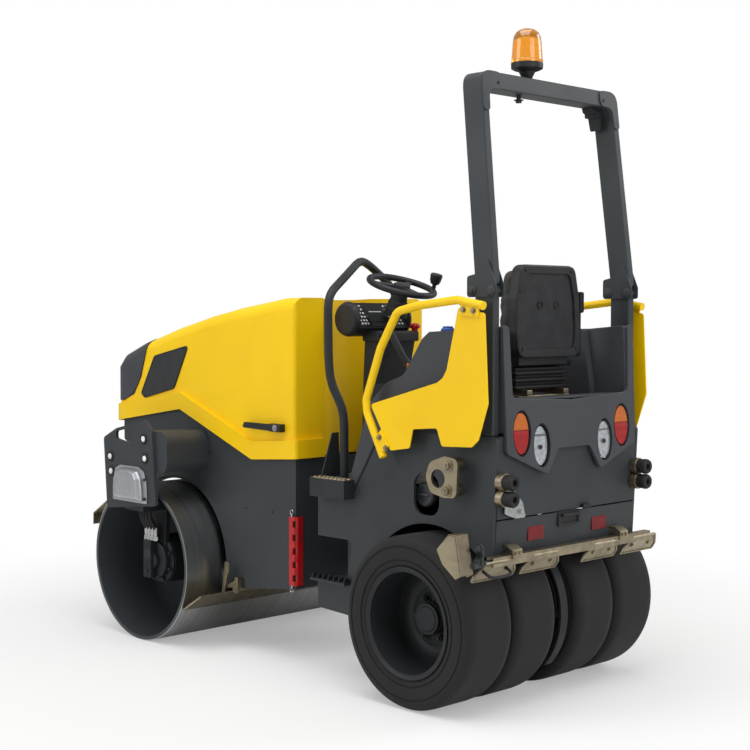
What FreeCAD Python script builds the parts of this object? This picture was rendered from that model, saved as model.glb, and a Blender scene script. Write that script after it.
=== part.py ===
import FreeCAD, Part
import math
import os

# Combination roller: one smooth steel drum in front, four smooth tyres behind, hinged in the middle.
# Millimetres. Front is -Y, the machine's left is +X, +Z is up, the floor is Z = 0.
# Stations along Y are measured from a working datum and moved by ORIGIN_Y when a solid is saved,
# so that the origin lies under the middle of the whole machine.
V = FreeCAD.Vector
ORIGIN_Y = -37.5

# Driving dimensions
DRUM_Y, DRUM_R, DRUM_HALF, DRUM_WALL = -823.0, 360.0, 600.0, 18.0
DRUM_TOP, DRUM_FREE = 2 * DRUM_R, 22.0
AXLE_Y, TYRE_R, TYRE_WALL = 860.0, 332.0, 124.0
RIM_R = TYRE_R - TYRE_WALL
PIVOT_Y = 150.0
REAR_HALF = 436.0
FRONT_HALF = 396.0
HOOD_HALF = 412.0
PLATE = 12.0
GUARD_X, GUARD_SHEET = 487.0, 6.0
PLATFORM_Z = 829.0
FIT_GAP, RUN_FIT = 0.3, 0.05
HUB_R, SPINDLE_R, PIN_R = 60.0, 72.0, 25.0
TYRES = {  # name: (inner face x, outer face x)
    "inner": (66.0, 306.0),
    "outer": (323.0, 572.0),
}
SIDES = {"left": 1, "right": -1}


def box(x0, x1, y0, y1, z0, z1):
    """Block between the given limits."""
    return Part.makeBox(x1 - x0, y1 - y0, z1 - z0, V(x0, y0, z0))


def rod(start, end, radius):
    """Round bar from start to end."""
    a, b = V(*start), V(*end)
    return Part.makeCylinder(radius, (b - a).Length, a, b - a)


def mirrored(shape):
    """The same piece on the machine's right side."""
    return shape.mirror(V(0, 0, 0), V(1, 0, 0))


def both(shape):
    """The piece and its mirror image, as two solids."""
    return Part.makeCompound([shape, mirrored(shape)])


def joined(shapes):
    """One solid from touching pieces."""
    first, rest = shapes[0], list(shapes[1:])
    return first.multiFuse(rest).removeSplitter() if rest else first


def rounded_wire(points, radius, lift):
    """Closed outline of 2-D points with round corners; lift turns a 2-D point into a 3-D one.

    A point may carry its own radius as a third value.
    """
    count = len(points)
    edges, starts, ends = [], [], []
    for i, point in enumerate(points):
        here = V(point[0], point[1], 0)
        before = V(*points[i - 1][:2], 0) - here
        after = V(*points[(i + 1) % count][:2], 0) - here
        wanted = point[2] if len(point) > 2 else radius
        half = before.getAngle(after) / 2.0
        back = min(wanted / math.tan(half), 0.45 * before.Length, 0.45 * after.Length)
        actual = back * math.tan(half)
        before.normalize()
        after.normalize()
        if actual < 0.5:
            starts.append(here)
            ends.append(here)
            continue
        middle = (before + after).normalize() * (actual / math.sin(half))
        centre = here + middle
        near = centre - V(middle).normalize() * actual
        starts.append(here + before * back)
        ends.append(here + after * back)
        arc = Part.Arc(lift(starts[-1]), lift(near), lift(ends[-1]))
        edges.append((i, arc.toShape()))
    arcs = dict(edges)
    ordered = []
    for i in range(count):
        if i in arcs:
            ordered.append(arcs[i])
        nxt = (i + 1) % count
        if (starts[nxt] - ends[i]).Length > 0.01:
            ordered.append(Part.makeLine(lift(ends[i]), lift(starts[nxt])))
    return Part.Wire(ordered)


def side_plate(points, x0, x1, radius=0.0):
    """Outline of (y, z) points, thick from x0 to x1."""
    wire = rounded_wire(points, radius, lambda p: V(x0, p.x, p.y))
    return Part.Face(wire).extrude(V(x1 - x0, 0, 0))


def cross_plate(points, y0, y1, radius=0.0):
    """Outline of (x, z) points, thick from y0 to y1."""
    wire = rounded_wire(points, radius, lambda p: V(p.x, y0, p.y))
    return Part.Face(wire).extrude(V(0, y1 - y0, 0))


def flat_plate(points, z0, z1, radius=0.0):
    """Outline of (x, y) points, thick from z0 to z1."""
    wire = rounded_wire(points, radius, lambda p: V(p.x, p.y, z0))
    return Part.Face(wire).extrude(V(0, 0, z1 - z0))


def tube(points, radius, bend):
    """Round bar through 3-D points, with a tangent arc at each inner point."""
    corners = [V(*p) for p in points]
    edges, last = [], corners[0]
    for before, here, after in zip(corners, corners[1:], corners[2:]):
        a, b = (before - here), (after - here)
        half = a.getAngle(b) / 2.0
        back = min(bend / math.tan(half), 0.45 * a.Length, 0.45 * b.Length)
        a.normalize()
        b.normalize()
        start, end = here + a * back, here + b * back
        reach = back * math.tan(half)
        centre = here + (a + b).normalize() * (reach / math.sin(half))
        near = centre + (here - centre).normalize() * reach
        edges.append(Part.makeLine(last, start))
        edges.append(Part.Arc(start, near, end).toShape())
        last = end
    edges.append(Part.makeLine(last, corners[-1]))
    path = Part.Wire(edges)
    direction = corners[1] - corners[0]
    profile = Part.Wire([Part.makeCircle(radius, corners[0], direction)])
    return path.makePipeShell([profile], True, True)


def ring(outer, inner, x0, x1, y, z):
    """Round ring along X."""
    body = Part.makeCylinder(outer, x1 - x0, V(x0, y, z), V(1, 0, 0))
    hole = Part.makeCylinder(inner, x1 - x0 + 2, V(x0 - 1, y, z), V(1, 0, 0))
    return body.cut(hole)


def disc(radius, x0, x1, y, z):
    """Round block along X."""
    return Part.makeCylinder(radius, x1 - x0, V(x0, y, z), V(1, 0, 0))


def save(name, shape):
    """Move a sub-part to the machine's origin and write it."""
    placed = shape.copy()
    placed.translate(V(0, -ORIGIN_Y, 0))
    placed.exportStep("parts/" + name + ".step")
    limits = placed.BoundBox
    print("%-22s solids %2d valid %s volume %9.1f cm3  y %7.1f..%7.1f z %7.1f..%7.1f" % (
        name, len(placed.Solids), placed.isValid(), placed.Volume / 1000,
        limits.YMin, limits.YMax, limits.ZMin, limits.ZMax))


# Rear chassis
ARCH_R = TYRE_R + 33
SIDE_PANEL = [  # (y, z, corner radius)
    (221, 284, 10), (221, 420, 0), (396, 420, 25), (431, 583, 25), (222, 583, 0), (222, 752, 0),
    (425, 752, 20), (445, 790, 20), (557, 972, 30), (620, 1050, 30), (1200, 1050, 20),
    (1177, 603, 10), (1080, 603, 0), (1080, 270, 0), (500, 270, 0),
]
OVAL_WINDOW = [(776, 728, 50), (910, 728, 50), (910, 890, 50), (776, 890, 50)]
FRAME_FRONT, FRAME_REAR = 221.0, 1190.0
REAR_SLOPE = [(1176, 742), (1188, 742), (1198, 1050), (1186, 1050)]
FLAP_SLOPE = [(1165, 603), (1177, 603), (1188, 741), (1176, 741)]


def side_panel():
    panel = side_plate(SIDE_PANEL, REAR_HALF - PLATE, REAR_HALF)
    arch = disc(ARCH_R, REAR_HALF - PLATE - 1, REAR_HALF + 1, AXLE_Y, TYRE_R)
    window = side_plate(OVAL_WINDOW, REAR_HALF - PLATE - 1, REAR_HALF + 1)
    return panel.cut(arch).cut(window)


def platform():
    inner = REAR_HALF - PLATE
    step_front, step_rear, step_edge = 235.0, 442.0, REAR_HALF + 59
    well = REAR_HALF - 106
    outline = [(150, 150), (150, step_front), (inner, step_front), (inner, 640), (well, 640), (well, 1174)]
    outline += [(-x, y) for x, y in reversed(outline)]
    floor = flat_plate(outline, PLATFORM_Z - 12, PLATFORM_Z)
    step = box(inner, step_edge, step_front, step_rear, 754, PLATFORM_Z)
    step = step.cut(box(inner - 1, step_edge - 6, step_front + 6, step_rear - 6, 753, PLATFORM_Z - 6))
    step = step.cut(side_panel())
    kick = cross_plate([(REAR_HALF + 22, PLATFORM_Z), (REAR_HALF - 38, 1008), (REAR_HALF - 74, 1010),
                        (REAR_HALF - 82, PLATFORM_Z)], 262, 268)
    return joined([floor, step, mirrored(step), kick, mirrored(kick)])


def front_wall():
    """Transverse wall behind the hinge, between the side panels, with the walls of the toe holes."""
    inner = REAR_HALF - PLATE
    toe_inner = inner - 124
    wall = box(-toe_inner, toe_inner, 270, 282, 284, PLATFORM_Z - 12)
    wall = wall.cut(box(CYLINDER_X - 62, CYLINDER_X + 62, 269, 283, HINGE_MID - 39, HINGE_MID + 39))
    toe = box(toe_inner, toe_inner + PLATE, 270, 470, 284, PLATFORM_Z - 12)
    back = box(toe_inner + PLATE, inner, 458, 470, 284, PLATFORM_Z - 12)
    tread = box(toe_inner + PLATE, inner, 270, 458, 400, 412)
    outer = box(inner, REAR_HALF + 42, 218, 425, 402, 410)
    outer = outer.cut(side_panel())
    return joined([wall, toe, back, tread, outer, mirrored(toe), mirrored(back), mirrored(tread),
                   mirrored(outer)])


def seat_box():
    """Closed box under the seat, with the tanks in it."""
    return box(-230, 230, 660, 1150, PLATFORM_Z, 1160)


def wheel_carrier():
    """Drop box between the two middle tyres with the stub axles and the curved mud strip."""
    drop = box(-45, 45, 740, 980, 240, 700)
    roof = box(-(REAR_HALF - PLATE), REAR_HALF - PLATE, 700, 1020, 706, 718)
    neck = box(-45, 45, 740, 980, 700, 706)
    axle = disc(70, -60, 60, AXLE_Y, TYRE_R)
    stub = disc(HUB_R - RUN_FIT, 45, 452, AXLE_Y, TYRE_R)
    outer_r, inner_r = TYRE_R - 20, TYRE_R - 28
    strip = ring(outer_r, inner_r, -21, 21, AXLE_Y, TYRE_R)
    keep = box(-22, 22, AXLE_Y + 150, AXLE_Y + 400, 120, 700)
    strip = strip.common(keep)
    arm = box(-15, 15, 970, AXLE_Y + inner_r + 2, TYRE_R - 15, TYRE_R + 15)
    return joined([drop, roof, neck, axle, stub, mirrored(stub), strip, arm])


# Articulation hinge and steering cylinder
HINGE_MID = 500.0
CYLINDER_X, BASE_Y, EYE_Y = -180.0, 500.0, 75.0
BARREL_FRONT, ROD_INNER = 270.0, 362.0


def hinge_block():
    """Bearing block on the rear frame with the upright pin."""
    block = box(-55, 55, 178, 270, HINGE_MID - 90, HINGE_MID + 90)
    nose = Part.makeCylinder(52, 180, V(0, PIVOT_Y, HINGE_MID - 90))
    pin = Part.makeCylinder(PIN_R, 270, V(0, PIVOT_Y, HINGE_MID - 135))
    ears = [box(CYLINDER_X - 30, CYLINDER_X + 30, 282, 530, z, z + 12) for z in (HINGE_MID - 51, HINGE_MID + 39)]
    base_pin = Part.makeCylinder(12, 102, V(CYLINDER_X, BASE_Y, HINGE_MID - 51))
    return joined([block, nose, pin]), joined(ears + [base_pin])


def hinge_yoke():
    """Two ears on the front frame around the pin, and the ears for the rod's eye."""
    parts = []
    for z in (HINGE_MID - 125, HINGE_MID + 95):
        ear = box(-60, 60, FRONT_REAR, PIVOT_Y, z, z + 30)
        tip = Part.makeCylinder(60, 30, V(0, PIVOT_Y, z))
        bore = Part.makeCylinder(PIN_R + RUN_FIT, 32, V(0, PIVOT_Y, z - 1))
        parts.append(ear.fuse(tip).cut(bore).removeSplitter())
    for z in (HINGE_MID - 38, HINGE_MID + 26):
        parts.append(box(CYLINDER_X - 26, CYLINDER_X + 26, FRONT_REAR, EYE_Y + 24, z, z + 12))
    return Part.makeCompound(parts)


def cylinder_barrel():
    tube_part = Part.makeCylinder(32, BASE_Y - BARREL_FRONT - 24, V(CYLINDER_X, BARREL_FRONT, HINGE_MID), V(0, 1, 0))
    bore = Part.makeCylinder(24, BASE_Y - BARREL_FRONT - 40, V(CYLINDER_X, BARREL_FRONT - 1, HINGE_MID), V(0, 1, 0))
    eye = Part.makeCylinder(30, 68, V(CYLINDER_X, BASE_Y, HINGE_MID - 34))
    pin_hole = Part.makeCylinder(12 + RUN_FIT, 70, V(CYLINDER_X, BASE_Y, HINGE_MID - 35))
    return joined([tube_part.cut(bore), eye]).cut(pin_hole)


def cylinder_rod():
    bar = Part.makeCylinder(14, ROD_INNER - EYE_Y, V(CYLINDER_X, EYE_Y, HINGE_MID), V(0, 1, 0))
    head = Part.makeCylinder(23.6, 20, V(CYLINDER_X, ROD_INNER - 20, HINGE_MID), V(0, 1, 0))
    eye = Part.makeCylinder(22, 40, V(CYLINDER_X, EYE_Y, HINGE_MID - 20))
    return joined([bar, head, eye])


# Operator's place
CONSOLE = [  # (y, z, corner radius)
    (412, 829, 4), (440, 905, 60), (495, 1065, 60), (520, 1140, 50), (629, 1234, 80), (717, 1262, 60),
    (817, 1405, 60), (854, 1432, 15), (1000, 1441, 10), (1040, 1200, 10), (1040, 1052, 4),
    (612, 1052, 4), (550, 974, 10), (462, 829, 4),
]
COLUMN = [(150, PLATFORM_Z, 0), (150, 1105, 0), (165, 1395, 20), (255, 1425, 20), (215, 1280, 60),
          (235, 1100, 60), (290, PLATFORM_Z, 0)]
WHEEL_CENTRE, WHEEL_R, WHEEL_TILT = (0.0, 276.0, 1620.0), 155.0, 18.0
RAIL_R = 17.0
RAIL_PATH = [(398, 340, PLATFORM_Z + 0.3), (398, 340, 1105), (424, 274, 1240), (424, 270, 1571),
             (105, 135, 1744), (-165, 70, 1602), (-165, 120, 1500)]


def console():
    return side_plate(CONSOLE, REAR_HALF - 114, REAR_HALF).cut(rops_foot())


def steering_column():
    return side_plate(COLUMN, -120, 120)


def instrument_pod():
    pod = Part.makeCylinder(76, 462, V(-231, 156, 1478), V(1, 0, 0))
    flat = box(-240, 240, 60, 240, 1476, 1600)
    flat.rotate(V(0, 156, 1478), V(1, 0, 0), -35)
    flat.translate(V(0, 20, 42))
    return pod.cut(flat).cut(steering_shaft(FIT_GAP)).cut(grab_rail(FIT_GAP))


def tilt(shape):
    """Lean a flat shape built at the wheel's centre to the steering wheel's angle."""
    shape.rotate(V(*WHEEL_CENTRE), V(1, 0, 0), -WHEEL_TILT)
    return shape


def steering_shaft(gap=0.0):
    x, y, z = WHEEL_CENTRE
    return tilt(Part.makeCylinder(24 + gap, 190, V(x, y, z - 215)))


def steering_wheel():
    x, y, z = WHEEL_CENTRE
    rim = Part.makeTorus(WHEEL_R - 11, 11, V(x, y, z))
    hub = Part.makeCylinder(32, 34, V(x, y, z - 24))
    parts = [rim, hub]
    for angle in (90, 210, 330):
        spoke = box(x + 20, x + WHEEL_R - 12, y - 14, y + 14, z - 7, z + 1)
        spoke.rotate(V(x, y, z), V(0, 0, 1), angle)
        parts.append(spoke)
    knob = Part.makeCylinder(9, 34, V(x, y + WHEEL_R - 11, z + 4))
    ball = Part.makeCone(12, 20, 36, V(x, y + WHEEL_R - 11, z + 34))
    for piece in (knob, ball):
        piece.rotate(V(x, y, z), V(0, 0, 1), 60)
    return tilt(joined(parts + [knob, ball]))


def grab_rail(gap=0.0):
    return tube(RAIL_PATH, RAIL_R + gap, 60)


def gas_strut():
    barrel = rod((90, 300, 1414), (60, 355, 1300), 15)
    piston = rod((60, 355, 1300), (38, 396, 1216), 6)
    lower = box(20, 56, 380, 412, PLATFORM_Z, 1222)
    upper = box(80, 100, 236, 306, 1385, 1420)
    return joined([barrel, piston, lower, upper.cut(steering_column())])


# Seat
def seat_rails():
    parts = [box(-156, 156, y, y + 28, 1160, 1186) for y in (720, 1040)]
    return Part.makeCompound(parts)


def seat_base():
    slider = box(-130, 130, 700, 1085, 1186 + FIT_GAP, 1206)
    middle = box(-170, 170, 680, 1060, 1206, 1292)
    arm = box(-60, 60, 1060, 1090, 1206, 1324 - FIT_GAP)
    return joined([slider, middle, arm])


def seat_cushion():
    return side_plate([(590, 1292.3, 20), (1020, 1292.3, 10), (1020, 1370, 20), (600, 1402, 45)], -225, 225)


def seat_back():
    front = [(-198, 1324, 40), (198, 1324, 40), (205, 1420, 60), (178, 1540, 60), (129, 1690, 55),
             (-129, 1690, 55), (-178, 1540, 60), (-205, 1420, 60)]
    return cross_plate(front, 900, 1150).common(side_plate([(1028, 1324, 8), (1092, 1324, 25), (1062, 1500, 0), (1040, 1690, 30),
                       (960, 1690, 40), (960, 1425, 40), (1024, 1382, 10)], -210, 210))


# Rear cover, lamps and fittings
COVER_REAR, COVER_FRONT = 1205.1, 1070.0
COVER_LEAN = 2.5


def leaned(shape):
    """Lean a piece built upright to the slope of the rear cover."""
    shape.rotate(V(0, COVER_REAR, 894), V(1, 0, 0), COVER_LEAN)
    return shape


def rear_cover():
    outline = [(-402, 1461, 15), (-398, 986, 20), (-163, 894, 20), (-98, 990, 30), (98, 990, 30),
               (163, 894, 20), (398, 986, 20), (402, 1461, 15), (366, 1455, 10), (356, 1190, 30),
               (0, 1150, 300), (-356, 1190, 30), (-366, 1455, 10)]
    skin = cross_plate(outline, COVER_REAR, COVER_REAR + 8)
    wing = side_plate([(COVER_FRONT, 1060), (COVER_REAR, 1060), (COVER_REAR, 1455), (1110, 1450),
                       (COVER_FRONT, 1330)], 356, 364)
    return leaned(joined([skin, wing, mirrored(wing)]))


def oval(x, z, half_w, half_h, y0, y1):
    """Upright oval prism along Y."""
    ellipse = Part.Ellipse(V(x, y0, z + half_h), V(x + half_w, y0, z), V(x, y0, z)).toShape()
    return leaned(Part.Face(Part.Wire([ellipse])).extrude(V(0, y1 - y0, 0)))


def rear_lugs():
    outline = [(902, 886, 60), (930, 830, 30), (1000, 816, 20), (1060, 820, 25), (1068, 964, 25),
               (1000, 972, 25), (925, 945, 40)]
    plate = side_plate(outline, 494, 506)
    plate = plate.cut(disc(35, 493, 507, 968, 886))
    pieces = [plate]
    for y, z in ((1018, 940), (1013, 843)):
        pieces.append(disc(24, REAR_HALF, 494, y, z))
        pieces.append(disc(15, 506, 518, y, z))
    return joined(pieces)


def rear_buffers():
    parts = []
    for z in (886, 825):
        core = rod((414, 1186, z), (414, 1250, z), 28)
        parts.append(joined([core] + [rod((414, y, z), (414, y + 19, z), 34) for y in (1200, 1223, 1246)]))
    plate_side = side_plate([(1100, 742), (1188 + FIT_GAP, 742), (1198 + FIT_GAP, 1050), (1100, 1050)],
                            -REAR_HALF - 20, REAR_HALF + 20)
    return Part.makeCompound([p.cut(plate_side) for p in parts + [mirrored(q) for q in parts]])


def scraper_bar():
    bar = box(-480, 480, 1196, 1226, 588, 612)
    hanger = [(1178, 612), (1226, 612), (1204, 640), (1180.2, 640)]
    return joined([bar] + [side_plate(hanger, x - 15, x + 15) for x in (-336, -112, 112, 336)])


def tyre_scrapers():
    parts = []
    for inner, outer in TYRES.values():
        plate = side_plate([(1128, 548), (1136, 542), (1212, 580), (1212, 588), (1204, 588)],
                           inner + 8, outer - 8)
        parts += [plate, mirrored(plate)]
    return Part.makeCompound(parts)


GUARD = [  # (y, z, corner radius)
    (1185, 1503, 10), (1055, 1525, 8), (998, 1294, 60), (948, 1243, 60), (591, 1146, 20),
    (702, 971, 15), (805, 987, 12), (823, 1061, 15), (948, 1072, 15), (974, 1005, 12),
    (1124, 1012, 35), (1156, 1039, 20), (1202, 1174, 15),
]
GUARD_TUBE = [(1178, 1530), (1048, 1552), (844, 1531), (738, 1509), (647, 1368), (566, 1164),
              (571, 1112), (662, 943)]


def side_guard():
    sheet = side_plate(GUARD, GUARD_X, GUARD_X + GUARD_SHEET)
    spacers = [disc(14, REAR_HALF, GUARD_X, y, z) for y, z in ((735, 1006), (1010, 1028), (1120, 1034))]
    return joined([sheet] + spacers)


def guard_tube():
    bar = tube([(GUARD_X + 3, y, z) for y, z in GUARD_TUBE], 16, 50)
    tabs = [side_plate([(1070, 1495), (1160, 1490), (1160, 1535), (1070, 1550)], GUARD_X + GUARD_SHEET, 499),
            side_plate([(640, 985), (668, 965), (700, 990), (655, 1050), (625, 1015)],
                       GUARD_X + GUARD_SHEET, 499)]
    return joined([bar] + tabs)


# Roll-over bar
FOLD_Y, FOLD_Z = 1168.0, 1585.0
POST_X0, POST_X1, POST_Y0, POST_Y1 = 376.0, 422.0, 1071.0, 1166.0
POST_SPLIT = 1610.0
BAR_Z0, BAR_Z1 = 2335.0, 2400.0


def rops_foot():
    stub = box(POST_X0, POST_X1, POST_Y0, POST_Y1, 800, POST_SPLIT - 4)
    pad = box(POST_X1, REAR_HALF - PLATE, POST_Y0 + 10, POST_Y1 - 10, 820, 1040)
    boss = disc(20, POST_X0, POST_X1, FOLD_Y, FOLD_Z)
    bolt = disc(11, POST_X0 - 26, POST_X1 + 26, FOLD_Y, FOLD_Z)
    return joined([stub, pad, boss, bolt])


def rops_frame():
    lean_in, lean_forward = 48.0, 68.0
    low = Part.makePolygon([V(POST_X0, POST_Y0, POST_SPLIT), V(POST_X1, POST_Y0, POST_SPLIT),
                            V(POST_X1, POST_Y1, POST_SPLIT), V(POST_X0, POST_Y1, POST_SPLIT),
                            V(POST_X0, POST_Y0, POST_SPLIT)])
    high = low.copy()
    high.translate(V(-lean_in, -lean_forward, BAR_Z1 - POST_SPLIT))
    post = Part.makeLoft([low, high], True, True)
    cheeks = []
    for x0 in (POST_X0 - 8, POST_X1 + 2):
        cheek = side_plate([(1050, 1562, 8), (1192, 1562, 20), (1192, 1608, 15), (1130, 1705, 8),
                            (1100, 1640, 8), (1050, 1640, 8)], x0, x0 + 6)
        cheeks.append(cheek.cut(disc(12, x0 - 1, x0 + 7, FOLD_Y, FOLD_Z)))
    spacers = [box(POST_X0 - 2, POST_X0 + 6, 1075, 1155, POST_SPLIT, 1640),
               box(POST_X1 - 8, POST_X1 + 2, 1075, 1155, POST_SPLIT, 1640)]
    side = joined([post] + cheeks + spacers)
    reach = POST_X1 - lean_in
    beam = box(-reach + 20, reach - 20, POST_Y0 - lean_forward + 2, POST_Y1 - lean_forward - 2, BAR_Z0, BAR_Z1)
    return joined([side, mirrored(side), beam])


BEACON = (100.0, 1050.0)


def beacon_base():
    x, y = BEACON
    return joined([Part.makeCylinder(12, 40, V(x, y, BAR_Z1)), Part.makeCylinder(52, 26, V(x, y, BAR_Z1 + 36))])


def beacon_dome():
    x, y = BEACON
    body = Part.makeCylinder(60, 120, V(x, y, BAR_Z1 + 62))
    top = Part.makeCone(60, 44, 19, V(x, y, BAR_Z1 + 182))
    return body.fuse(top).removeSplitter()


# Rear wheels
def tyre(inner, outer):
    half, middle = (outer - inner) / 2.0, (outer + inner) / 2.0
    profile = [(-half + 6, RIM_R, 6), (-half, RIM_R + 50, 60), (-half + 4, TYRE_R, 42),
               (half - 4, TYRE_R, 42), (half, RIM_R + 50, 60), (half - 6, RIM_R, 6)]
    wire = rounded_wire(profile, 0, lambda p: V(middle + p.x, AXLE_Y, TYRE_R + p.y))
    return Part.Face(wire).revolve(V(0, AXLE_Y, TYRE_R), V(1, 0, 0), 360)


def rims():
    parts = []
    for (inner, outer), disc_x in zip(TYRES.values(), (236.0, 392.0)):
        parts.append(ring(RIM_R - 0.3, RIM_R - 13, inner + 8, outer - 8, AXLE_Y, TYRE_R))
        parts.append(ring(RIM_R - 12, HUB_R, disc_x, disc_x + 12, AXLE_Y, TYRE_R))
    parts.append(ring(100, HUB_R, 236, 404, AXLE_Y, TYRE_R))
    return joined(parts)


# Front frame
FRONT_REAR = 35.0
FRONT_PANEL = [  # (y, z)
    (FRONT_REAR, 325), (FRONT_REAR, 905), (-250, 892), (-768, 1088), (-1240, 1010), (-1240, 890),
    (-1080, 800), (-823, 600), (-480, 420), (-480, 258),
]
DRUM_CLEAR = DRUM_R + DRUM_FREE


def front_panel():
    panel = side_plate(FRONT_PANEL, FRONT_HALF - PLATE, FRONT_HALF)
    return panel.cut(disc(DRUM_CLEAR, FRONT_HALF - PLATE - 1, FRONT_HALF + 1, DRUM_Y, DRUM_R))


def front_frame():
    inner = FRONT_HALF - PLATE
    rear_wall = box(-inner, inner, FRONT_REAR - PLATE, FRONT_REAR, 325, 880)
    floor = box(-inner, inner, -420, FRONT_REAR - PLATE, 325, 337)
    mounts = [box(-inner, inner, y, y + 30, 620, 640) for y in (-460, -180)]
    deck = box(-inner, inner, -1150, -510, 770, 782)
    nose = box(-inner, inner, -1240, -1228, 890, 990)
    pins = [rod((x, HINGE_Y, HINGE_Z), (x + 70, HINGE_Y, HINGE_Z), HOOD_PIN_R) for x in (-305, 235)]
    ears = [side_plate([(-1240, 965), (HINGE_Y + 8, HINGE_Z - 14), (HINGE_Y - 14, HINGE_Z - 14),
                        (HINGE_Y - 14, HINGE_Z + 14), (HINGE_Y + 8, HINGE_Z + 14), (-1240, 990)], x, x + 8)
            for x in (-305, -243, 235, 297)]
    nose = joined([nose] + pins + ears)
    return Part.makeCompound([joined([rear_wall, floor])] + mounts + [deck, nose])


DRUM_PLATE_X = 630.0


def carrier_arms():
    low, high = DRUM_TOP + 69, DRUM_TOP + 251
    arm = side_plate([(-746, low, 20), (-568, low, 40), (-568, high, 50), (-746, high, 20)],
                     FRONT_HALF, DRUM_PLATE_X)
    return both(arm)


DRUM_PLATE = [(-1044, 924, 20), (-939, 972, 30), (-716, 1021, 15), (-662, 977, 20), (-633, 638, 10),
              (-1019, 596, 10)]


def drum_plate():
    plate = side_plate(DRUM_PLATE, DRUM_PLATE_X, DRUM_PLATE_X + 15)
    slot = side_plate([(-943, 925, 12), (-943, 958, 12), (-815, 984, 12), (-810, 908, 12), (-860, 912, 20)],
                      DRUM_PLATE_X - 1, DRUM_PLATE_X + 16)
    return plate.cut(slot)


def drum_cover():
    return side_plate([(-965, 640, 20), (-692, 640, 20), (-700, 790, 50), (-780, 815, 40),
                       (-900, 812, 40), (-955, 770, 30)], DRUM_PLATE_X + 15, DRUM_PLATE_X + 50)


SHELF_Z, PORT_Z = DRUM_TOP - 120, DRUM_R + 92


def drum_hanger():
    shelf = box(478, DRUM_PLATE_X, -900, -750, SHELF_Z, SHELF_Z + 40)
    arm = side_plate([(-900, SHELF_Z + 40), (-750, SHELF_Z + 40), (-765, 400), (-765, 330), (-880, 330),
                      (-880, 400)], 478, 498)
    motor = disc(112, 380, 478, DRUM_Y, DRUM_R)
    spindle = disc(SPINDLE_R - RUN_FIT, 290, 380, DRUM_Y, DRUM_R)
    block = box(498, 548, -868, -812, DRUM_R - 80, PORT_Z)
    return joined([shelf, arm, motor, spindle, block])


def drum_hoses():
    parts = []
    for y in (-868, -846, -822, -796):
        parts.append(tube([(560, y, SHELF_Z - FIT_GAP), (560, y, 560), (530, y + 4, 500),
                           (530, y + 4, PORT_Z + FIT_GAP)], 9, 40))
    return Part.makeCompound(parts + [mirrored(p) for p in parts])


def drum_scrapers():
    rear = side_plate([(-506, 186), (-500, 180), (-378, 255), (-378, 263)], -590, 590)
    front = side_plate([(-1093, 617), (-1205, 549), (-1207, 494), (-1203, 494), (-1200, 545), (-1090, 612)],
                       -600, 600)
    arms = []
    for x0 in (-380, 360):
        arms.append(side_plate([(-378, 255), (-392, 246), (-392, 325), (-378, 325)], x0, x0 + 20))
        arms.append(side_plate([(-1180, 564), (-1150, 580), (-1150, 782), (-1172, 782)], x0, x0 + 20))
    return joined([rear] + arms[0::2]), joined([front] + arms[1::2])


def lock_bar():
    near, out = 4, 12
    corner = [(FRONT_HALF + near, 5), (FRONT_HALF + out, 5), (FRONT_HALF + out, FRONT_REAR + near),
              (FRONT_HALF - 2, FRONT_REAR + out), (FRONT_HALF - 30, FRONT_REAR + out),
              (FRONT_HALF - 30, FRONT_REAR + near),
              (FRONT_HALF + near, FRONT_REAR + near)]
    bar = flat_plate(corner, 339, 634)
    for z in (372, 430, 488, 546, 604):
        bar = bar.cut(box(FRONT_HALF + near - 1, FRONT_HALF + 40, FRONT_REAR - 8, FRONT_REAR + 40, z - 14, z + 14))
    pins = [disc(9, FRONT_HALF, FRONT_HALF + near, 17, z) for z in (352, 622)]
    return joined([bar] + pins)


def engine_block():
    return box(-250, 250, -500, -135, 640, 1040)


# Hood
HINGE_Y, HINGE_Z, HOOD_PIN_R = -1290.0, 985.0, 10.0
HOOD_LOW = [(50, 885), (-245, 862), (-768, 1058), (-1330, 972)]
HOOD_TOP = [(-1340, 1068), (-1300, 1239), (-1235, 1306), (-1090, 1361), (-822, 1435), (-576, 1490),
            (-369, 1527), (-70, 1568), (40, 1570)]
HOOD_STEP, BAND_HEIGHT, HOOD_SHEET, SHOULDER_R = 15.0, 80.0, 7.0, 55.0
SWING_R = 262.0


def hood_plan(half, rear, front, radius):
    """Hood seen from above, with its round front corners, as a tall block."""
    plan = [(-half, rear, 20), (-half, front, radius), (half, front, radius), (half, rear, 20)]
    return flat_plate(plan, 700, 1700)


def hood_form(grow, rounding):
    """Hood's body over its full height, as a block; a negative grow gives its inside."""
    half, rear = HOOD_HALF - HOOD_STEP + grow, 25 + min(grow, 0)
    drop = 0 if grow >= 0 else 20
    sections = []
    for y, z in HOOD_TOP:
        y, z = (y - grow if y < -1100 else y) + (25 if y > 0 else 0), z + grow
        section = [(-half, 700, 0), (half, 700, 0), (half, z, rounding), (-half, z, rounding)]
        sections.append(rounded_wire(section, 0, lambda p, y=y: V(p.x, y, p.y)))
    front_y, front_z = HOOD_TOP[0]
    low = [(rear + 40, HOOD_LOW[0][1] - drop)] + [(y, z - drop) for y, z in HOOD_LOW[1:-1]]
    low += [(HOOD_LOW[-1][0] - grow, HOOD_LOW[-1][1] - drop), (front_y - grow, front_z)]
    low += [(front_y - grow, 1700), (rear + 40, 1700)]
    block = Part.makeLoft(sections, True, True).common(side_plate(low, -half - 1, half + 1))
    return block.common(hood_plan(half + 1, rear, front_y - grow, 110 + grow))


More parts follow.
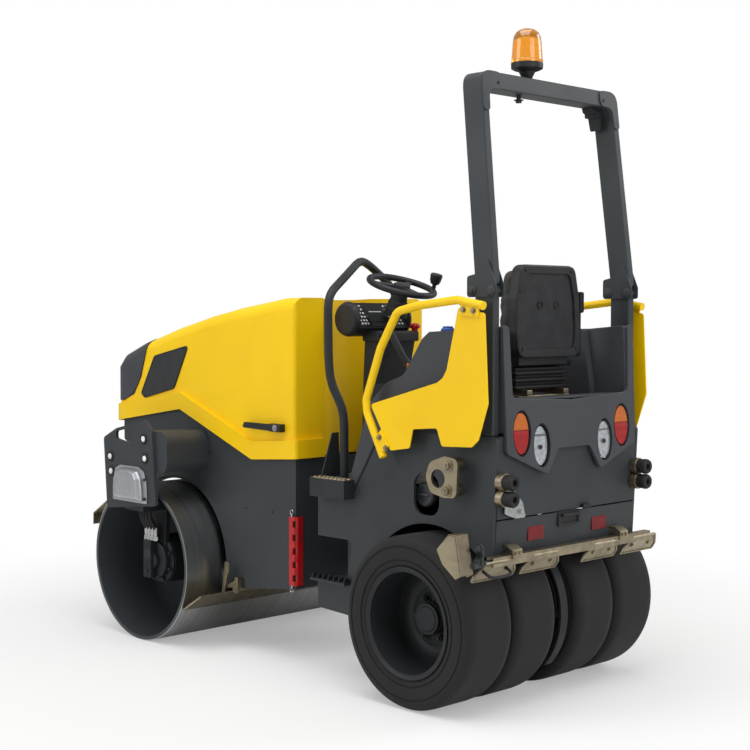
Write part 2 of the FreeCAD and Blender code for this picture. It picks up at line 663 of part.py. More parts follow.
def hood_band(grow):
    """Thicker band along the hood's lower edge."""
    half, rear, drop = HOOD_HALF + grow, 50 + min(grow, 0), 0 if grow >= 0 else 20
    low = [(y + (20 if y > 0 else 0), z - drop) for y, z in HOOD_LOW]
    high = [(y + (20 if y > 0 else 0), z + BAND_HEIGHT + grow) for y, z in reversed(HOOD_LOW)]
    return side_plate(low + high, -half, half).common(hood_plan(half, rear, -1342.0 - grow, 110))


def hood():
    outer = hood_form(0, SHOULDER_R).fuse(hood_band(0))
    hollow = hood_form(-HOOD_SHEET, SHOULDER_R - HOOD_SHEET).fuse(hood_band(-HOOD_SHEET))
    swing, wall = (Part.makeCylinder(SWING_R + extra, 1000, V(0, PIVOT_Y, 800)) for extra in (0, HOOD_SHEET))
    shell = outer.cut(hollow.cut(wall)).cut(swing).removeSplitter()
    lugs = []
    for x in (-281, 259):
        lug = joined([box(x, x + 22, -1334, HINGE_Y, HINGE_Z - 12, HINGE_Z + 12),
                      disc(22, x, x + 22, HINGE_Y, HINGE_Z)])
        lugs.append(lug.cut(disc(HOOD_PIN_R + RUN_FIT, x - 1, x + 23, HINGE_Y, HINGE_Z)))
    return joined([shell] + lugs)


NOSE = [(-1420, 1078), (-1240, 1078), (-1151, 1112), (-1090, 1200), (-1020, 1420), (-1420, 1420)]
GRILLE = [(-981, 1301, 25), (-712, 1356, 12), (-826, 1150, 25), (-1060, 1097, 25), (-1091, 1118, 20)]
LATCH_Z = 1010.0


def nose_panel():
    """Thin grey panel over the hood's nose."""
    skin = hood_form(3, SHOULDER_R + 3).cut(hood_form(FIT_GAP, SHOULDER_R + FIT_GAP))
    return skin.common(side_plate(NOSE, -500, 500))


def hood_grille():
    """Black grille in the hood's side."""
    side = HOOD_HALF - HOOD_STEP
    return side_plate(GRILLE, side + FIT_GAP, side + 4)


def hood_latch():
    """Lever latch on the hood's side, on its foot."""
    side = HOOD_HALF - HOOD_STEP
    foot = box(side + FIT_GAP, side + 22, -112, -34, LATCH_Z - 17, LATCH_Z + 17)
    lever = side_plate([(-284, LATCH_Z - 8, 8), (-34, LATCH_Z - 15, 8), (-24, LATCH_Z + 15, 8), (-270, LATCH_Z + 16, 8)],
                       side + 22, side + 34)
    return joined([foot, lever])


if __name__ == "__main__":
    os.makedirs("parts", exist_ok=True)
    panel = side_panel()
    save("side_panels", both(panel))
    slopes = [side_plate(slope, -REAR_HALF + PLATE, REAR_HALF - PLATE) for slope in (REAR_SLOPE, FLAP_SLOPE)]
    save("rear_plate", Part.makeCompound(slopes))
    save("platform", platform())
    save("front_wall", front_wall())
    save("seat_box", seat_box())
    save("wheel_carrier", wheel_carrier())
    block, bracket = hinge_block()
    save("hinge_block", Part.makeCompound([block, bracket]))
    save("hinge_yoke", hinge_yoke())
    save("cylinder_barrel", cylinder_barrel())
    save("cylinder_rod", cylinder_rod())
    save("consoles", both(console()))
    save("steering_column", joined([steering_column(), steering_shaft()]))
    save("instrument_pod", instrument_pod())
    save("steering_wheel", steering_wheel())
    save("grab_rail", grab_rail())
    save("gas_strut", gas_strut())
    save("seat_rails", seat_rails())
    save("seat_base", seat_base())
    save("seat_cushion", seat_cushion())
    save("seat_back", seat_back())
    save("rear_cover", rear_cover())
    lamps = [oval(308, 1058, 48, 80, 1214, 1224)]
    save("tail_lamps", Part.makeCompound(lamps + [mirrored(s) for s in lamps]))
    lamps = [oval(196, 1007, 44, 76, 1214, 1222)]
    save("work_lamps", Part.makeCompound(lamps + [mirrored(s) for s in lamps]))
    save("rear_lugs", both(rear_lugs()))
    save("rear_buffers", rear_buffers())
    save("tyre_scrapers", Part.makeCompound([scraper_bar(), tyre_scrapers()]))
    save("side_guards", both(side_guard()))
    save("guard_tubes", both(guard_tube()))
    save("rops_feet", both(rops_foot()))
    save("rops_frame", rops_frame())
    save("beacon_base", beacon_base())
    save("beacon_dome", beacon_dome())
    for side, sign in SIDES.items():
        for row, (inner, outer) in TYRES.items():
            shape = tyre(inner, outer)
            save("tyre_%s_%s" % (side, row), shape if sign > 0 else mirrored(shape))
        save("rims_" + side, rims() if sign > 0 else mirrored(rims()))
    save("front_panels", both(front_panel()))
    save("front_walls", front_frame())
    save("carrier_arms", carrier_arms())
    save("drum_plates", both(drum_plate()))
    save("drum_covers", both(drum_cover()))
    save("drum_hangers", both(drum_hanger()))
    save("drum_hoses", drum_hoses())
    save("drum_scrapers", Part.makeCompound(drum_scrapers()))
    save("lock_bar", lock_bar())
    save("engine_block", engine_block())
    save("drum_shell", ring(DRUM_R, DRUM_R - DRUM_WALL, -DRUM_HALF, DRUM_HALF, DRUM_Y, DRUM_R))
    discs = ring(DRUM_R - DRUM_WALL, SPINDLE_R, 300, 318, DRUM_Y, DRUM_R)
    save("drum_discs", both(discs))
    save("hood", hood())
    save("nose_panel", nose_panel())
    save("hood_grilles", both(hood_grille()))
    save("hood_latches", both(hood_latch()))
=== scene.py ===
"""Looks of the combination roller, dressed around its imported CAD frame.

Sizes are in millimetres. Stations along Y are measured from the datum that the part's source uses,
and at() turns such a place into Blender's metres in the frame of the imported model.
"""

import logging
import math
from collections.abc import Iterable, Sequence
from dataclasses import dataclass
from enum import Enum

import bpy
from mathutils import Matrix, Vector


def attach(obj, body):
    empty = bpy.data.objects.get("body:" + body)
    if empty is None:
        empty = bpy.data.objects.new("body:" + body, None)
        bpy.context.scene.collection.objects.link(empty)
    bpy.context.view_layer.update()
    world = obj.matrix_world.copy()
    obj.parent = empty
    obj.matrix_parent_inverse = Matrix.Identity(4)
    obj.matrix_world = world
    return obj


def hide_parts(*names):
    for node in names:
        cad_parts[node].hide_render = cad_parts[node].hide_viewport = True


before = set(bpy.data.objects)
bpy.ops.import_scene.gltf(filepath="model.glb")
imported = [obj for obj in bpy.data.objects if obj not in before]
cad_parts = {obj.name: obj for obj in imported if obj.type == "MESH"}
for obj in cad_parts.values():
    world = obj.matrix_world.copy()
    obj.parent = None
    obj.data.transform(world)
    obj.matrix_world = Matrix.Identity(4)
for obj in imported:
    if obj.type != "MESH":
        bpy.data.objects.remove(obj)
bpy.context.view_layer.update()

LOG = logging.getLogger("roller")
MM = 0.001
DATUM_Y = 37.5
SIDES = {"left": 1.0, "right": -1.0}

Object = bpy.types.Object
Material = bpy.types.Material
Flat = Sequence[tuple[float, float]]


class Axis(Enum):
    """Direction along which a plate is thick or a turned piece is round."""

    X = 0
    Y = 1
    Z = 2


class Body(Enum):
    """Moving bodies of the frame that pieces ride on."""

    REAR = "rear_frame"
    FRONT = "front_frame"
    DRUM = "drum"
    HOOD = "hood"
    WHEELS_LEFT = "wheels_left"
    WHEELS_RIGHT = "wheels_right"
    ROPS = "rops"
    STEERING_WHEEL = "steering_wheel"
    SEAT = "seat"


def at(x: float, y: float, z: float) -> Vector:
    """Gives a place in metres from millimetres on the working datum.

    Args:
        x: Millimetres to the machine's left.
        y: Millimetres to the rear of the datum.
        z: Millimetres above the floor.

    Returns:
        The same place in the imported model's frame.
    """
    return Vector((x, y + DATUM_Y, z)) * MM


# Modelling


def deselect() -> None:
    """Leaves edit mode and selects nothing."""
    if bpy.context.object and bpy.context.object.mode != "OBJECT":
        bpy.ops.object.mode_set(mode="OBJECT")
    bpy.ops.object.select_all(action="DESELECT")


def pick(*objects: Object) -> None:
    """Selects only the given objects and makes the first one active."""
    deselect()
    for obj in objects:
        obj.select_set(True)
    bpy.context.view_layer.objects.active = objects[0]


def settle(obj: Object) -> Object:
    """Moves an object's place, turn and size into its mesh."""
    pick(obj)
    bpy.ops.object.transform_apply(location=True, rotation=True, scale=True)
    return obj


def modify(obj: Object, kind: str, **settings: object) -> Object:
    """Adds a modifier and applies it.

    Args:
        obj: The object to change.
        kind: Blender's name of the modifier.
        settings: Values for the modifier's properties.

    Returns:
        The changed object.
    """
    modifier = obj.modifiers.new(kind.title(), kind)
    for key, value in settings.items():
        setattr(modifier, key, value)
    pick(obj)
    bpy.ops.object.modifier_apply(modifier=modifier.name)
    return obj


def bevel(obj: Object, width: float, segments: int = 2, angle: float = 30.0) -> Object:
    """Rounds the edges that turn more than an angle.

    Args:
        obj: The object to round.
        width: Width of the rounding in millimetres.
        segments: Faces across the rounding.
        angle: Smallest turn of an edge in degrees.

    Returns:
        The rounded object.
    """
    return modify(obj, "BEVEL", width=width * MM, segments=segments, limit_method="ANGLE",
                  angle_limit=math.radians(angle), use_clamp_overlap=True)


def edit_all(obj: Object) -> None:
    """Enters edit mode with the whole mesh selected."""
    pick(obj)
    bpy.ops.object.mode_set(mode="EDIT")
    bpy.ops.mesh.select_all(action="SELECT")


def outward(obj: Object) -> Object:
    """Merges doubled points and turns all faces outwards."""
    edit_all(obj)
    bpy.ops.mesh.remove_doubles(threshold=1e-6)
    bpy.ops.mesh.normals_make_consistent(inside=False)
    bpy.ops.object.mode_set(mode="OBJECT")
    return obj


def block(low: Vector, high: Vector, rounding: float = 0.0, segments: int = 2) -> Object:
    """Makes a block between two corners, with rounded edges.

    Args:
        low: Lowest corner, from at().
        high: Highest corner, from at().
        rounding: Width of the edge rounding in millimetres.
        segments: Faces across each rounding.

    Returns:
        The new object.
    """
    deselect()
    bpy.ops.mesh.primitive_cube_add(size=1.0, location=(low + high) / 2.0)
    obj = bpy.context.active_object
    obj.scale = high - low
    settle(obj)
    return bevel(obj, rounding, segments) if rounding else obj


def bar(start: Vector, end: Vector, radius: float, sides: int = 32, rounding: float = 0.0) -> Object:
    """Makes a round bar, or a prism with few sides, between two points.

    Args:
        start: Middle of one end.
        end: Middle of the other end.
        radius: Radius in millimetres.
        sides: Number of flat faces around.
        rounding: Width of the edge rounding in millimetres.

    Returns:
        The new object.
    """
    along = end - start
    deselect()
    bpy.ops.mesh.primitive_cylinder_add(vertices=sides, radius=radius * MM, depth=along.length,
                                        location=(start + end) / 2.0)
    obj = bpy.context.active_object
    obj.rotation_mode = "QUATERNION"
    obj.rotation_quaternion = along.to_track_quat("Z", "Y")
    settle(obj)
    return bevel(obj, rounding, 2, 50.0) if rounding else obj


def upright(axis: Axis, first: float, second: float, along: float) -> Vector:
    """Places a drawing's point in space.

    Args:
        axis: Direction that the drawing is seen along.
        first: The drawing's first coordinate: y for X, x for Y and Z.
        second: The drawing's second coordinate: z for X and Y, y for Z.
        along: Place along the axis.

    Returns:
        The point in metres.
    """
    if axis is Axis.X:
        return at(along, first, second)
    if axis is Axis.Y:
        return at(first, along, second)
    return at(first, second, along)


def outline(points: Flat, axis: Axis, along: float, closed: bool = True) -> Object:
    """Makes a flat outline from a circle whose points are moved to their places.

    Args:
        points: The outline's points in its drawing.
        axis: Direction that the drawing is seen along.
        along: Place of the drawing along that axis.
        closed: Whether the outline is filled.

    Returns:
        The new object.
    """
    deselect()
    fill = "NGON" if closed else "NOTHING"
    bpy.ops.mesh.primitive_circle_add(vertices=len(points), radius=1.0, fill_type=fill)
    obj = bpy.context.active_object
    for vertex, (first, second) in zip(obj.data.vertices, points):
        vertex.co = upright(axis, first, second, along)
    return obj


def plate(points: Flat, axis: Axis, near: float, far: float, rounding: float = 0.0,
          corners: float = 0.0) -> Object:
    """Makes a plate by extruding an outline.

    Args:
        points: The outline's points in its drawing.
        axis: Direction of the thickness.
        near: Where the plate starts along the axis.
        far: Where it ends.
        rounding: Width of the edge rounding in millimetres.
        corners: Radius of the outline's corners in millimetres.

    Returns:
        The new object.
    """
    obj = outline(rounded(points, corners) if corners else points, axis, near)
    step = upright(axis, 0.0, 0.0, far) - upright(axis, 0.0, 0.0, near)
    edit_all(obj)
    bpy.ops.mesh.extrude_region_move(TRANSFORM_OT_translate={"value": step})
    bpy.ops.object.mode_set(mode="OBJECT")
    outward(obj)
    return bevel(obj, rounding, 2, 40.0) if rounding else obj


def rounded(points: Flat, radius: float, steps: int = 6) -> list[tuple[float, float]]:
    """Rounds the corners of a drawing's outline.

    Args:
        points: Corner points in order.
        radius: Radius of each corner, made smaller where an edge is short.
        steps: Straight pieces in each rounded corner.

    Returns:
        The points of the rounded outline.
    """
    made = []
    for i, point in enumerate(points):
        here = Vector(point)
        back = Vector(points[i - 1]) - here
        ahead = Vector(points[(i + 1) % len(points)]) - here
        half = back.angle(ahead) / 2.0
        reach = min(radius / math.tan(half), 0.45 * back.length, 0.45 * ahead.length)
        start, end = here + back.normalized() * reach, here + ahead.normalized() * reach
        for step in range(steps + 1):
            t = step / steps
            spot = start * (1 - t) ** 2 + here * 2 * t * (1 - t) + end * t ** 2
            made.append((spot.x, spot.y))
    return made


def turned(profile: Flat, centre: Vector, axis: Axis = Axis.X, steps: int = 64,
           whole: bool = True) -> Object:
    """Turns a profile around an axis, as on a lathe.

    Args:
        profile: Points of (place along the axis, radius) in millimetres.
        centre: Point on the axis that the places are measured from, in metres.
        axis: Direction of the axis.
        steps: Faces around.
        whole: Whether the profile is a closed loop; otherwise its ends lie on the axis or stay open.

    Returns:
        The new object.
    """
    deselect()
    bpy.ops.mesh.primitive_circle_add(vertices=len(profile), radius=1.0, fill_type="NOTHING")
    obj = bpy.context.active_object
    way = Vector([float(i == axis.value) for i in range(3)])
    side = Vector((0.0, 0.0, 1.0)) if axis is not Axis.Z else Vector((1.0, 0.0, 0.0))
    for vertex, (along, radius) in zip(obj.data.vertices, profile):
        vertex.co = centre + way * along * MM + side * radius * MM
    if not whole:
        last = len(profile) - 1
        for edge in obj.data.edges:
            edge.select = set(edge.vertices) == {0, last}
        for vertex in obj.data.vertices:
            vertex.select = False
        pick(obj)
        bpy.ops.object.mode_set(mode="EDIT")
        bpy.ops.mesh.select_mode(type="EDGE")
        bpy.ops.mesh.delete(type="EDGE_FACE")
        bpy.ops.mesh.select_mode(type="VERT")
        bpy.ops.object.mode_set(mode="OBJECT")
    edit_all(obj)
    bpy.ops.mesh.spin(steps=steps, angle=2.0 * math.pi, center=centre, axis=way)
    bpy.ops.object.mode_set(mode="OBJECT")
    return outward(obj)


def pipe(points: Iterable[Vector], radius: float, sides: int = 3, order: int = 3) -> Object:
    """Makes a bent round bar along a smooth path.

    Args:
        points: Control points of the path, in metres.
        radius: Radius in millimetres.
        sides: Blender's bevel resolution.
        order: Order of the path's spline.

    Returns:
        The new mesh object.
    """
    places = list(points)
    deselect()
    bpy.ops.curve.primitive_nurbs_path_add()
    obj = bpy.context.active_object
    obj.data.splines.clear()
    spline = obj.data.splines.new("NURBS")
    spline.points.add(len(places) - 1)
    for point, place in zip(spline.points, places):
        point.co = (*place, 1.0)
    spline.order_u = order
    spline.use_endpoint_u = True
    obj.data.dimensions = "3D"
    obj.data.resolution_u = 8
    obj.data.bevel_depth = radius * MM
    obj.data.bevel_resolution = sides
    obj.data.use_fill_caps = True
    pick(obj)
    bpy.ops.object.convert(target="MESH")
    return outward(bpy.context.active_object)


def cut(obj: Object, *tools: Object) -> Object:
    """Cuts tools out of an object and removes them."""
    for tool in tools:
        modify(obj, "BOOLEAN", object=tool, operation="DIFFERENCE", solver="EXACT")
        bpy.data.objects.remove(tool)
    return obj


def join(*objects: Object) -> Object:
    """Makes one object of several."""
    pick(*objects)
    if len(objects) > 1:
        bpy.ops.object.join()
    return objects[0]


def copy(obj: Object, move: Vector | None = None, turn: Matrix | None = None) -> Object:
    """Copies a piece with its own mesh.

    Args:
        obj: The piece to copy.
        move: How far the copy is moved, in metres.
        turn: A whole transform of the copy, about the origin, before the move.

    Returns:
        The copy.
    """
    pick(obj)
    bpy.ops.object.duplicate(linked=False)
    twin = bpy.context.active_object
    if turn is not None:
        twin.matrix_world = turn @ twin.matrix_world
    if move is not None:
        twin.location += move
    return settle(twin)


def twin(obj: Object) -> Object:
    """Copies a piece to the machine's other side."""
    return outward(copy(obj, turn=Matrix.Scale(-1.0, 4, Vector((1.0, 0.0, 0.0)))))


def about(angle: float, axis: Axis, centre: Vector) -> Matrix:
    """Gives a turn in degrees around an axis through a point."""
    turn = Matrix.Rotation(math.radians(angle), 4, axis.name)
    return Matrix.Translation(centre) @ turn @ Matrix.Translation(-centre)


def hexagon(place: Vector, out: Vector, across: float, height: float) -> Object:
    """Makes a hexagon bolt head on a washer.

    Args:
        place: Middle of the face that the washer lies on.
        out: Direction that the bolt points away from the face.
        across: Size over the flats in millimetres.
        height: Height of the head in millimetres.

    Returns:
        The new object.
    """
    way = out.normalized() * MM
    washer = bar(place, place + way * height * 0.25, across * 0.85, 20)
    head = bar(place + way * height * 0.2, place + way * height * 1.2, across * 0.577, 6, across * 0.05)
    return join(washer, head)


# Finishes


def linear(colour: str) -> tuple[float, float, float, float]:
    """Turns an sRGB hex colour into Blender's linear one."""
    parts = [int(colour[i:i + 2], 16) / 255.0 for i in (0, 2, 4)]
    red, green, blue = (c / 12.92 if c <= 0.04045 else ((c + 0.055) / 1.055) ** 2.4 for c in parts)
    return red, green, blue, 1.0


def add_node(tree: bpy.types.NodeTree, kind: str, sockets: dict | None = None,
             **settings: object) -> bpy.types.Node:
    """Adds a shader node.

    Args:
        tree: The material's node tree.
        kind: Blender's name of the node.
        sockets: Input name or number, with a value or the output that feeds it.
        settings: Values for the node's properties.

    Returns:
        The new node.
    """
    node = tree.nodes.new(kind)
    for key, value in settings.items():
        setattr(node, key, value)
    for socket, value in (sockets or {}).items():
        if isinstance(value, bpy.types.NodeSocket):
            tree.links.new(value, node.inputs[socket])
        else:
            node.inputs[socket].default_value = value
    return node


def per_metre(size: float) -> float:
    """Gives the texture scale whose features have a size in millimetres."""
    return 1.0 / (size * MM)


@dataclass(frozen=True)
class Finish:
    """A surface finish that makes one Blender material.

    Attributes:
        name: The material's name, after what it is made of.
        colour: Main colour as sRGB hex.
        shade: Second colour that clouds and stains lean to, as sRGB hex.
        roughness: Mean roughness.
        spread: How far the roughness goes up and down across the surface.
        cloud: Size of the colour clouds in millimetres.
        grain: Size of the surface grain in millimetres.
        depth: Height of the grain in millimetres.
    """

    name: str
    colour: str
    shade: str
    roughness: float = 0.5
    spread: float = 0.06
    cloud: float = 180.0
    grain: float = 2.0
    depth: float = 0.05

    def material(self) -> Material:
        """Gives the finish's material, made on first use."""
        return bpy.data.materials.get(self.name) or self.build()

    def build(self) -> Material:
        """Makes the material with its clouds, grain and shader."""
        material = bpy.data.materials.new(self.name)
        material.use_nodes = True
        tree = material.node_tree
        shader = tree.nodes["Principled BSDF"]
        place = add_node(tree, "ShaderNodeTexCoord").outputs["Object"]
        clouds = add_node(tree, "ShaderNodeTexNoise", {"Vector": self.stretch(tree, place),
                                                      "Scale": per_metre(self.cloud), "Detail": 5.0})
        tint = add_node(tree, "ShaderNodeMix", {0: self.mask(tree, place, clouds.outputs["Fac"]),
                                                6: linear(self.colour), 7: linear(self.shade)},
                                                data_type="RGBA")
        rough = add_node(tree, "ShaderNodeMapRange", {"Value": clouds.outputs["Fac"], "From Min": 0.3,
                                                      "From Max": 0.7,
                                                      "To Min": self.roughness - self.spread,
                                                      "To Max": self.roughness + self.spread})
        grain = add_node(tree, "ShaderNodeTexNoise", {"Vector": self.stretch(tree, place),
                                                     "Scale": per_metre(self.grain), "Detail": 2.0})
        relief = add_node(tree, "ShaderNodeBump", {"Height": grain.outputs["Fac"], "Strength": 0.6,
                                                   "Distance": self.depth * MM})
        tree.links.new(tint.outputs[2], shader.inputs["Base Color"])
        tree.links.new(rough.outputs["Result"], shader.inputs["Roughness"])
        tree.links.new(relief.outputs["Normal"], shader.inputs["Normal"])
        self.shade_with(tree, shader, place)
        return material

    def stretch(self, tree: bpy.types.NodeTree, place: bpy.types.NodeSocket) -> bpy.types.NodeSocket:
        """Gives the coordinates of the clouds and grain; plain here."""
        return place

    def mask(self, tree: bpy.types.NodeTree, place: bpy.types.NodeSocket,
             clouds: bpy.types.NodeSocket) -> bpy.types.NodeSocket:
        """Gives how much of the second colour shows at each point."""
        ramp = add_node(tree, "ShaderNodeMapRange", {"Value": clouds, "From Min": 0.42, "From Max": 0.72,
                                                     "To Min": 0.0, "To Max": 0.8})
        return ramp.outputs["Result"]

    def shade_with(self, tree: bpy.types.NodeTree, shader: bpy.types.Node,
                   place: bpy.types.NodeSocket) -> None:
        """Sets the shader's own sockets; a kind of finish adds its own."""


@dataclass(frozen=True)
class Coating(Finish):
    """Paint, powder coat or moulded plastic, with an optional clear gloss over it.

    Attributes:
        gloss: Weight of the clear coat.
        sheen: Weight of a dusty sheen.
    """

    gloss: float = 0.0
    sheen: float = 0.0

    def shade_with(self, tree: bpy.types.NodeTree, shader: bpy.types.Node,
                   place: bpy.types.NodeSocket) -> None:
        """Sets the clear coat and the sheen."""
        shader.inputs["Coat Weight"].default_value = self.gloss
        shader.inputs["Coat Roughness"].default_value = 0.12
        shader.inputs["Sheen Weight"].default_value = self.sheen
        shader.inputs["Specular IOR Level"].default_value = 0.3
        shader.inputs["IOR"].default_value = 1.5


@dataclass(frozen=True)
class Perforated(Coating):
    """Coated sheet with rows of round holes, drawn as near-black spots: painted shade of the dark inside
    seen through them.

    Attributes:
        pitch: Distance between holes in millimetres, coarse enough to show.
    """

    pitch: float = 11.0

    def shade_with(self, tree: bpy.types.NodeTree, shader: bpy.types.Node,
                   place: bpy.types.NodeSocket) -> None:
        """Darkens round spots that stand in regular rows: the holes are painted near-black as the shade
        behind them.
        """
        Coating.shade_with(self, tree, shader, place)
        turned_grid = add_node(tree, "ShaderNodeMapping",
                               {"Vector": place, "Rotation": (math.pi / 4, 0.0, 0.0)})
        flat = add_node(tree, "ShaderNodeVectorMath", {0: turned_grid.outputs[0], 1: (0.0, 1.0, 1.0)},
                        operation="MULTIPLY")
        spots = add_node(tree, "ShaderNodeTexVoronoi",
                         {"Vector": flat.outputs[0], "Scale": per_metre(self.pitch),
                                                        "Randomness": 0.0})
        solid = add_node(tree, "ShaderNodeMapRange", {"Value": spots.outputs["Distance"], "From Min": 0.3,
                                                      "From Max": 0.36})
        coat = shader.inputs["Base Color"].links[0].from_socket
        # The near-black of the holes is painted shade of the hood's dark inside.
        painted_hole_shade = add_node(tree, "ShaderNodeMix", {0: solid.outputs["Result"], 6: linear("050506"), 7: coat},
                         data_type="RGBA")
        tree.links.new(painted_hole_shade.outputs[2], shader.inputs["Base Color"])


@dataclass(frozen=True)
class Metal(Finish):
    """Bare or plated metal, brushed or turned in one direction.

    Attributes:
        run: How many times longer the grain is along each axis.
    """

    run: tuple[float, float, float] = (1.0, 1.0, 1.0)

    def stretch(self, tree: bpy.types.NodeTree, place: bpy.types.NodeSocket) -> bpy.types.NodeSocket:
        """Stretches the grain along the working direction."""
        squeeze = tuple(1.0 / length for length in self.run)
        return add_node(tree, "ShaderNodeMapping", {"Vector": place, "Scale": squeeze}).outputs["Vector"]

    def shade_with(self, tree: bpy.types.NodeTree, shader: bpy.types.Node,
                   place: bpy.types.NodeSocket) -> None:
        """Makes the shader a metal."""
        shader.inputs["Metallic"].default_value = 1.0


@dataclass(frozen=True)
class DrumSteel(Metal):
    """Steel drum that rolls bright outside and is painted inside.

    Attributes:
        inside: Paint colour inside the shell.
        radius: Radius in millimetres under which the paint starts.
        centre: The drum's axis as (y, z) in millimetres.
    """

    inside: str = "3C4043"
    radius: float = 357.0
    centre: tuple[float, float] = (-823.0, 360.0)

    def shade_with(self, tree: bpy.types.NodeTree, shader: bpy.types.Node,
                   place: bpy.types.NodeSocket) -> None:
        """Paints what lies inside the radius and polishes wide bands outside it."""
        y, z = self.centre
        centred = add_node(tree, "ShaderNodeVectorMath", {0: place, 1: at(0.0, y, z)}, operation="SUBTRACT")
        flat = add_node(tree, "ShaderNodeVectorMath", {0: centred.outputs[0], 1: (0.0, 1.0, 1.0)},
                        operation="MULTIPLY")
        away = add_node(tree, "ShaderNodeVectorMath", {0: flat.outputs[0]}, operation="LENGTH")
        outer = add_node(tree, "ShaderNodeMath", {0: away.outputs["Value"], 1: self.radius * MM},
                         operation="GREATER_THAN")
        steel = shader.inputs["Base Color"].links[0].from_socket
        paint = add_node(tree, "ShaderNodeMix", {0: outer.outputs[0], 6: linear(self.inside), 7: steel},
                         data_type="RGBA")
        worn = shader.inputs["Roughness"].links[0].from_socket
        rough = add_node(tree, "ShaderNodeMix", {0: outer.outputs[0], 2: 0.55, 3: worn})
        tree.links.new(paint.outputs[2], shader.inputs["Base Color"])
        tree.links.new(rough.outputs[0], shader.inputs["Roughness"])
        tree.links.new(outer.outputs[0], shader.inputs["Metallic"])
        around = add_node(tree, "ShaderNodeTangent", direction_type="RADIAL", axis="X")
        tree.links.new(around.outputs["Tangent"], shader.inputs["Tangent"])
        shader.inputs["Anisotropic"].default_value = 0.85


@dataclass(frozen=True)
class Lens(Finish):
    """Clear or coloured moulded lens.

    Attributes:
        clarity: Share of the light that goes through.
        ribs: Spacing of the moulded ribs in millimetres.
        around: Axis letter that the ribs follow.
    """

    clarity: float = 0.8
    ribs: float = 8.0
    around: str = "Z"

    def shade_with(self, tree: bpy.types.NodeTree, shader: bpy.types.Node,
                   place: bpy.types.NodeSocket) -> None:
        """Lets light through and adds the ribs to the relief."""
        shader.inputs["Transmission Weight"].default_value = self.clarity
        shader.inputs["IOR"].default_value = 1.49
        shader.inputs["Coat Weight"].default_value = 0.5
        wave = add_node(tree, "ShaderNodeTexWave", {"Vector": place, "Scale": per_metre(self.ribs) / 20.0},
                        wave_type="BANDS", bands_direction=self.around)
        relief = add_node(tree, "ShaderNodeBump", {"Height": wave.outputs["Fac"], "Strength": 0.5,
                                                   "Distance": 0.8 * MM})
        tree.links.new(relief.outputs["Normal"], shader.inputs["Normal"])


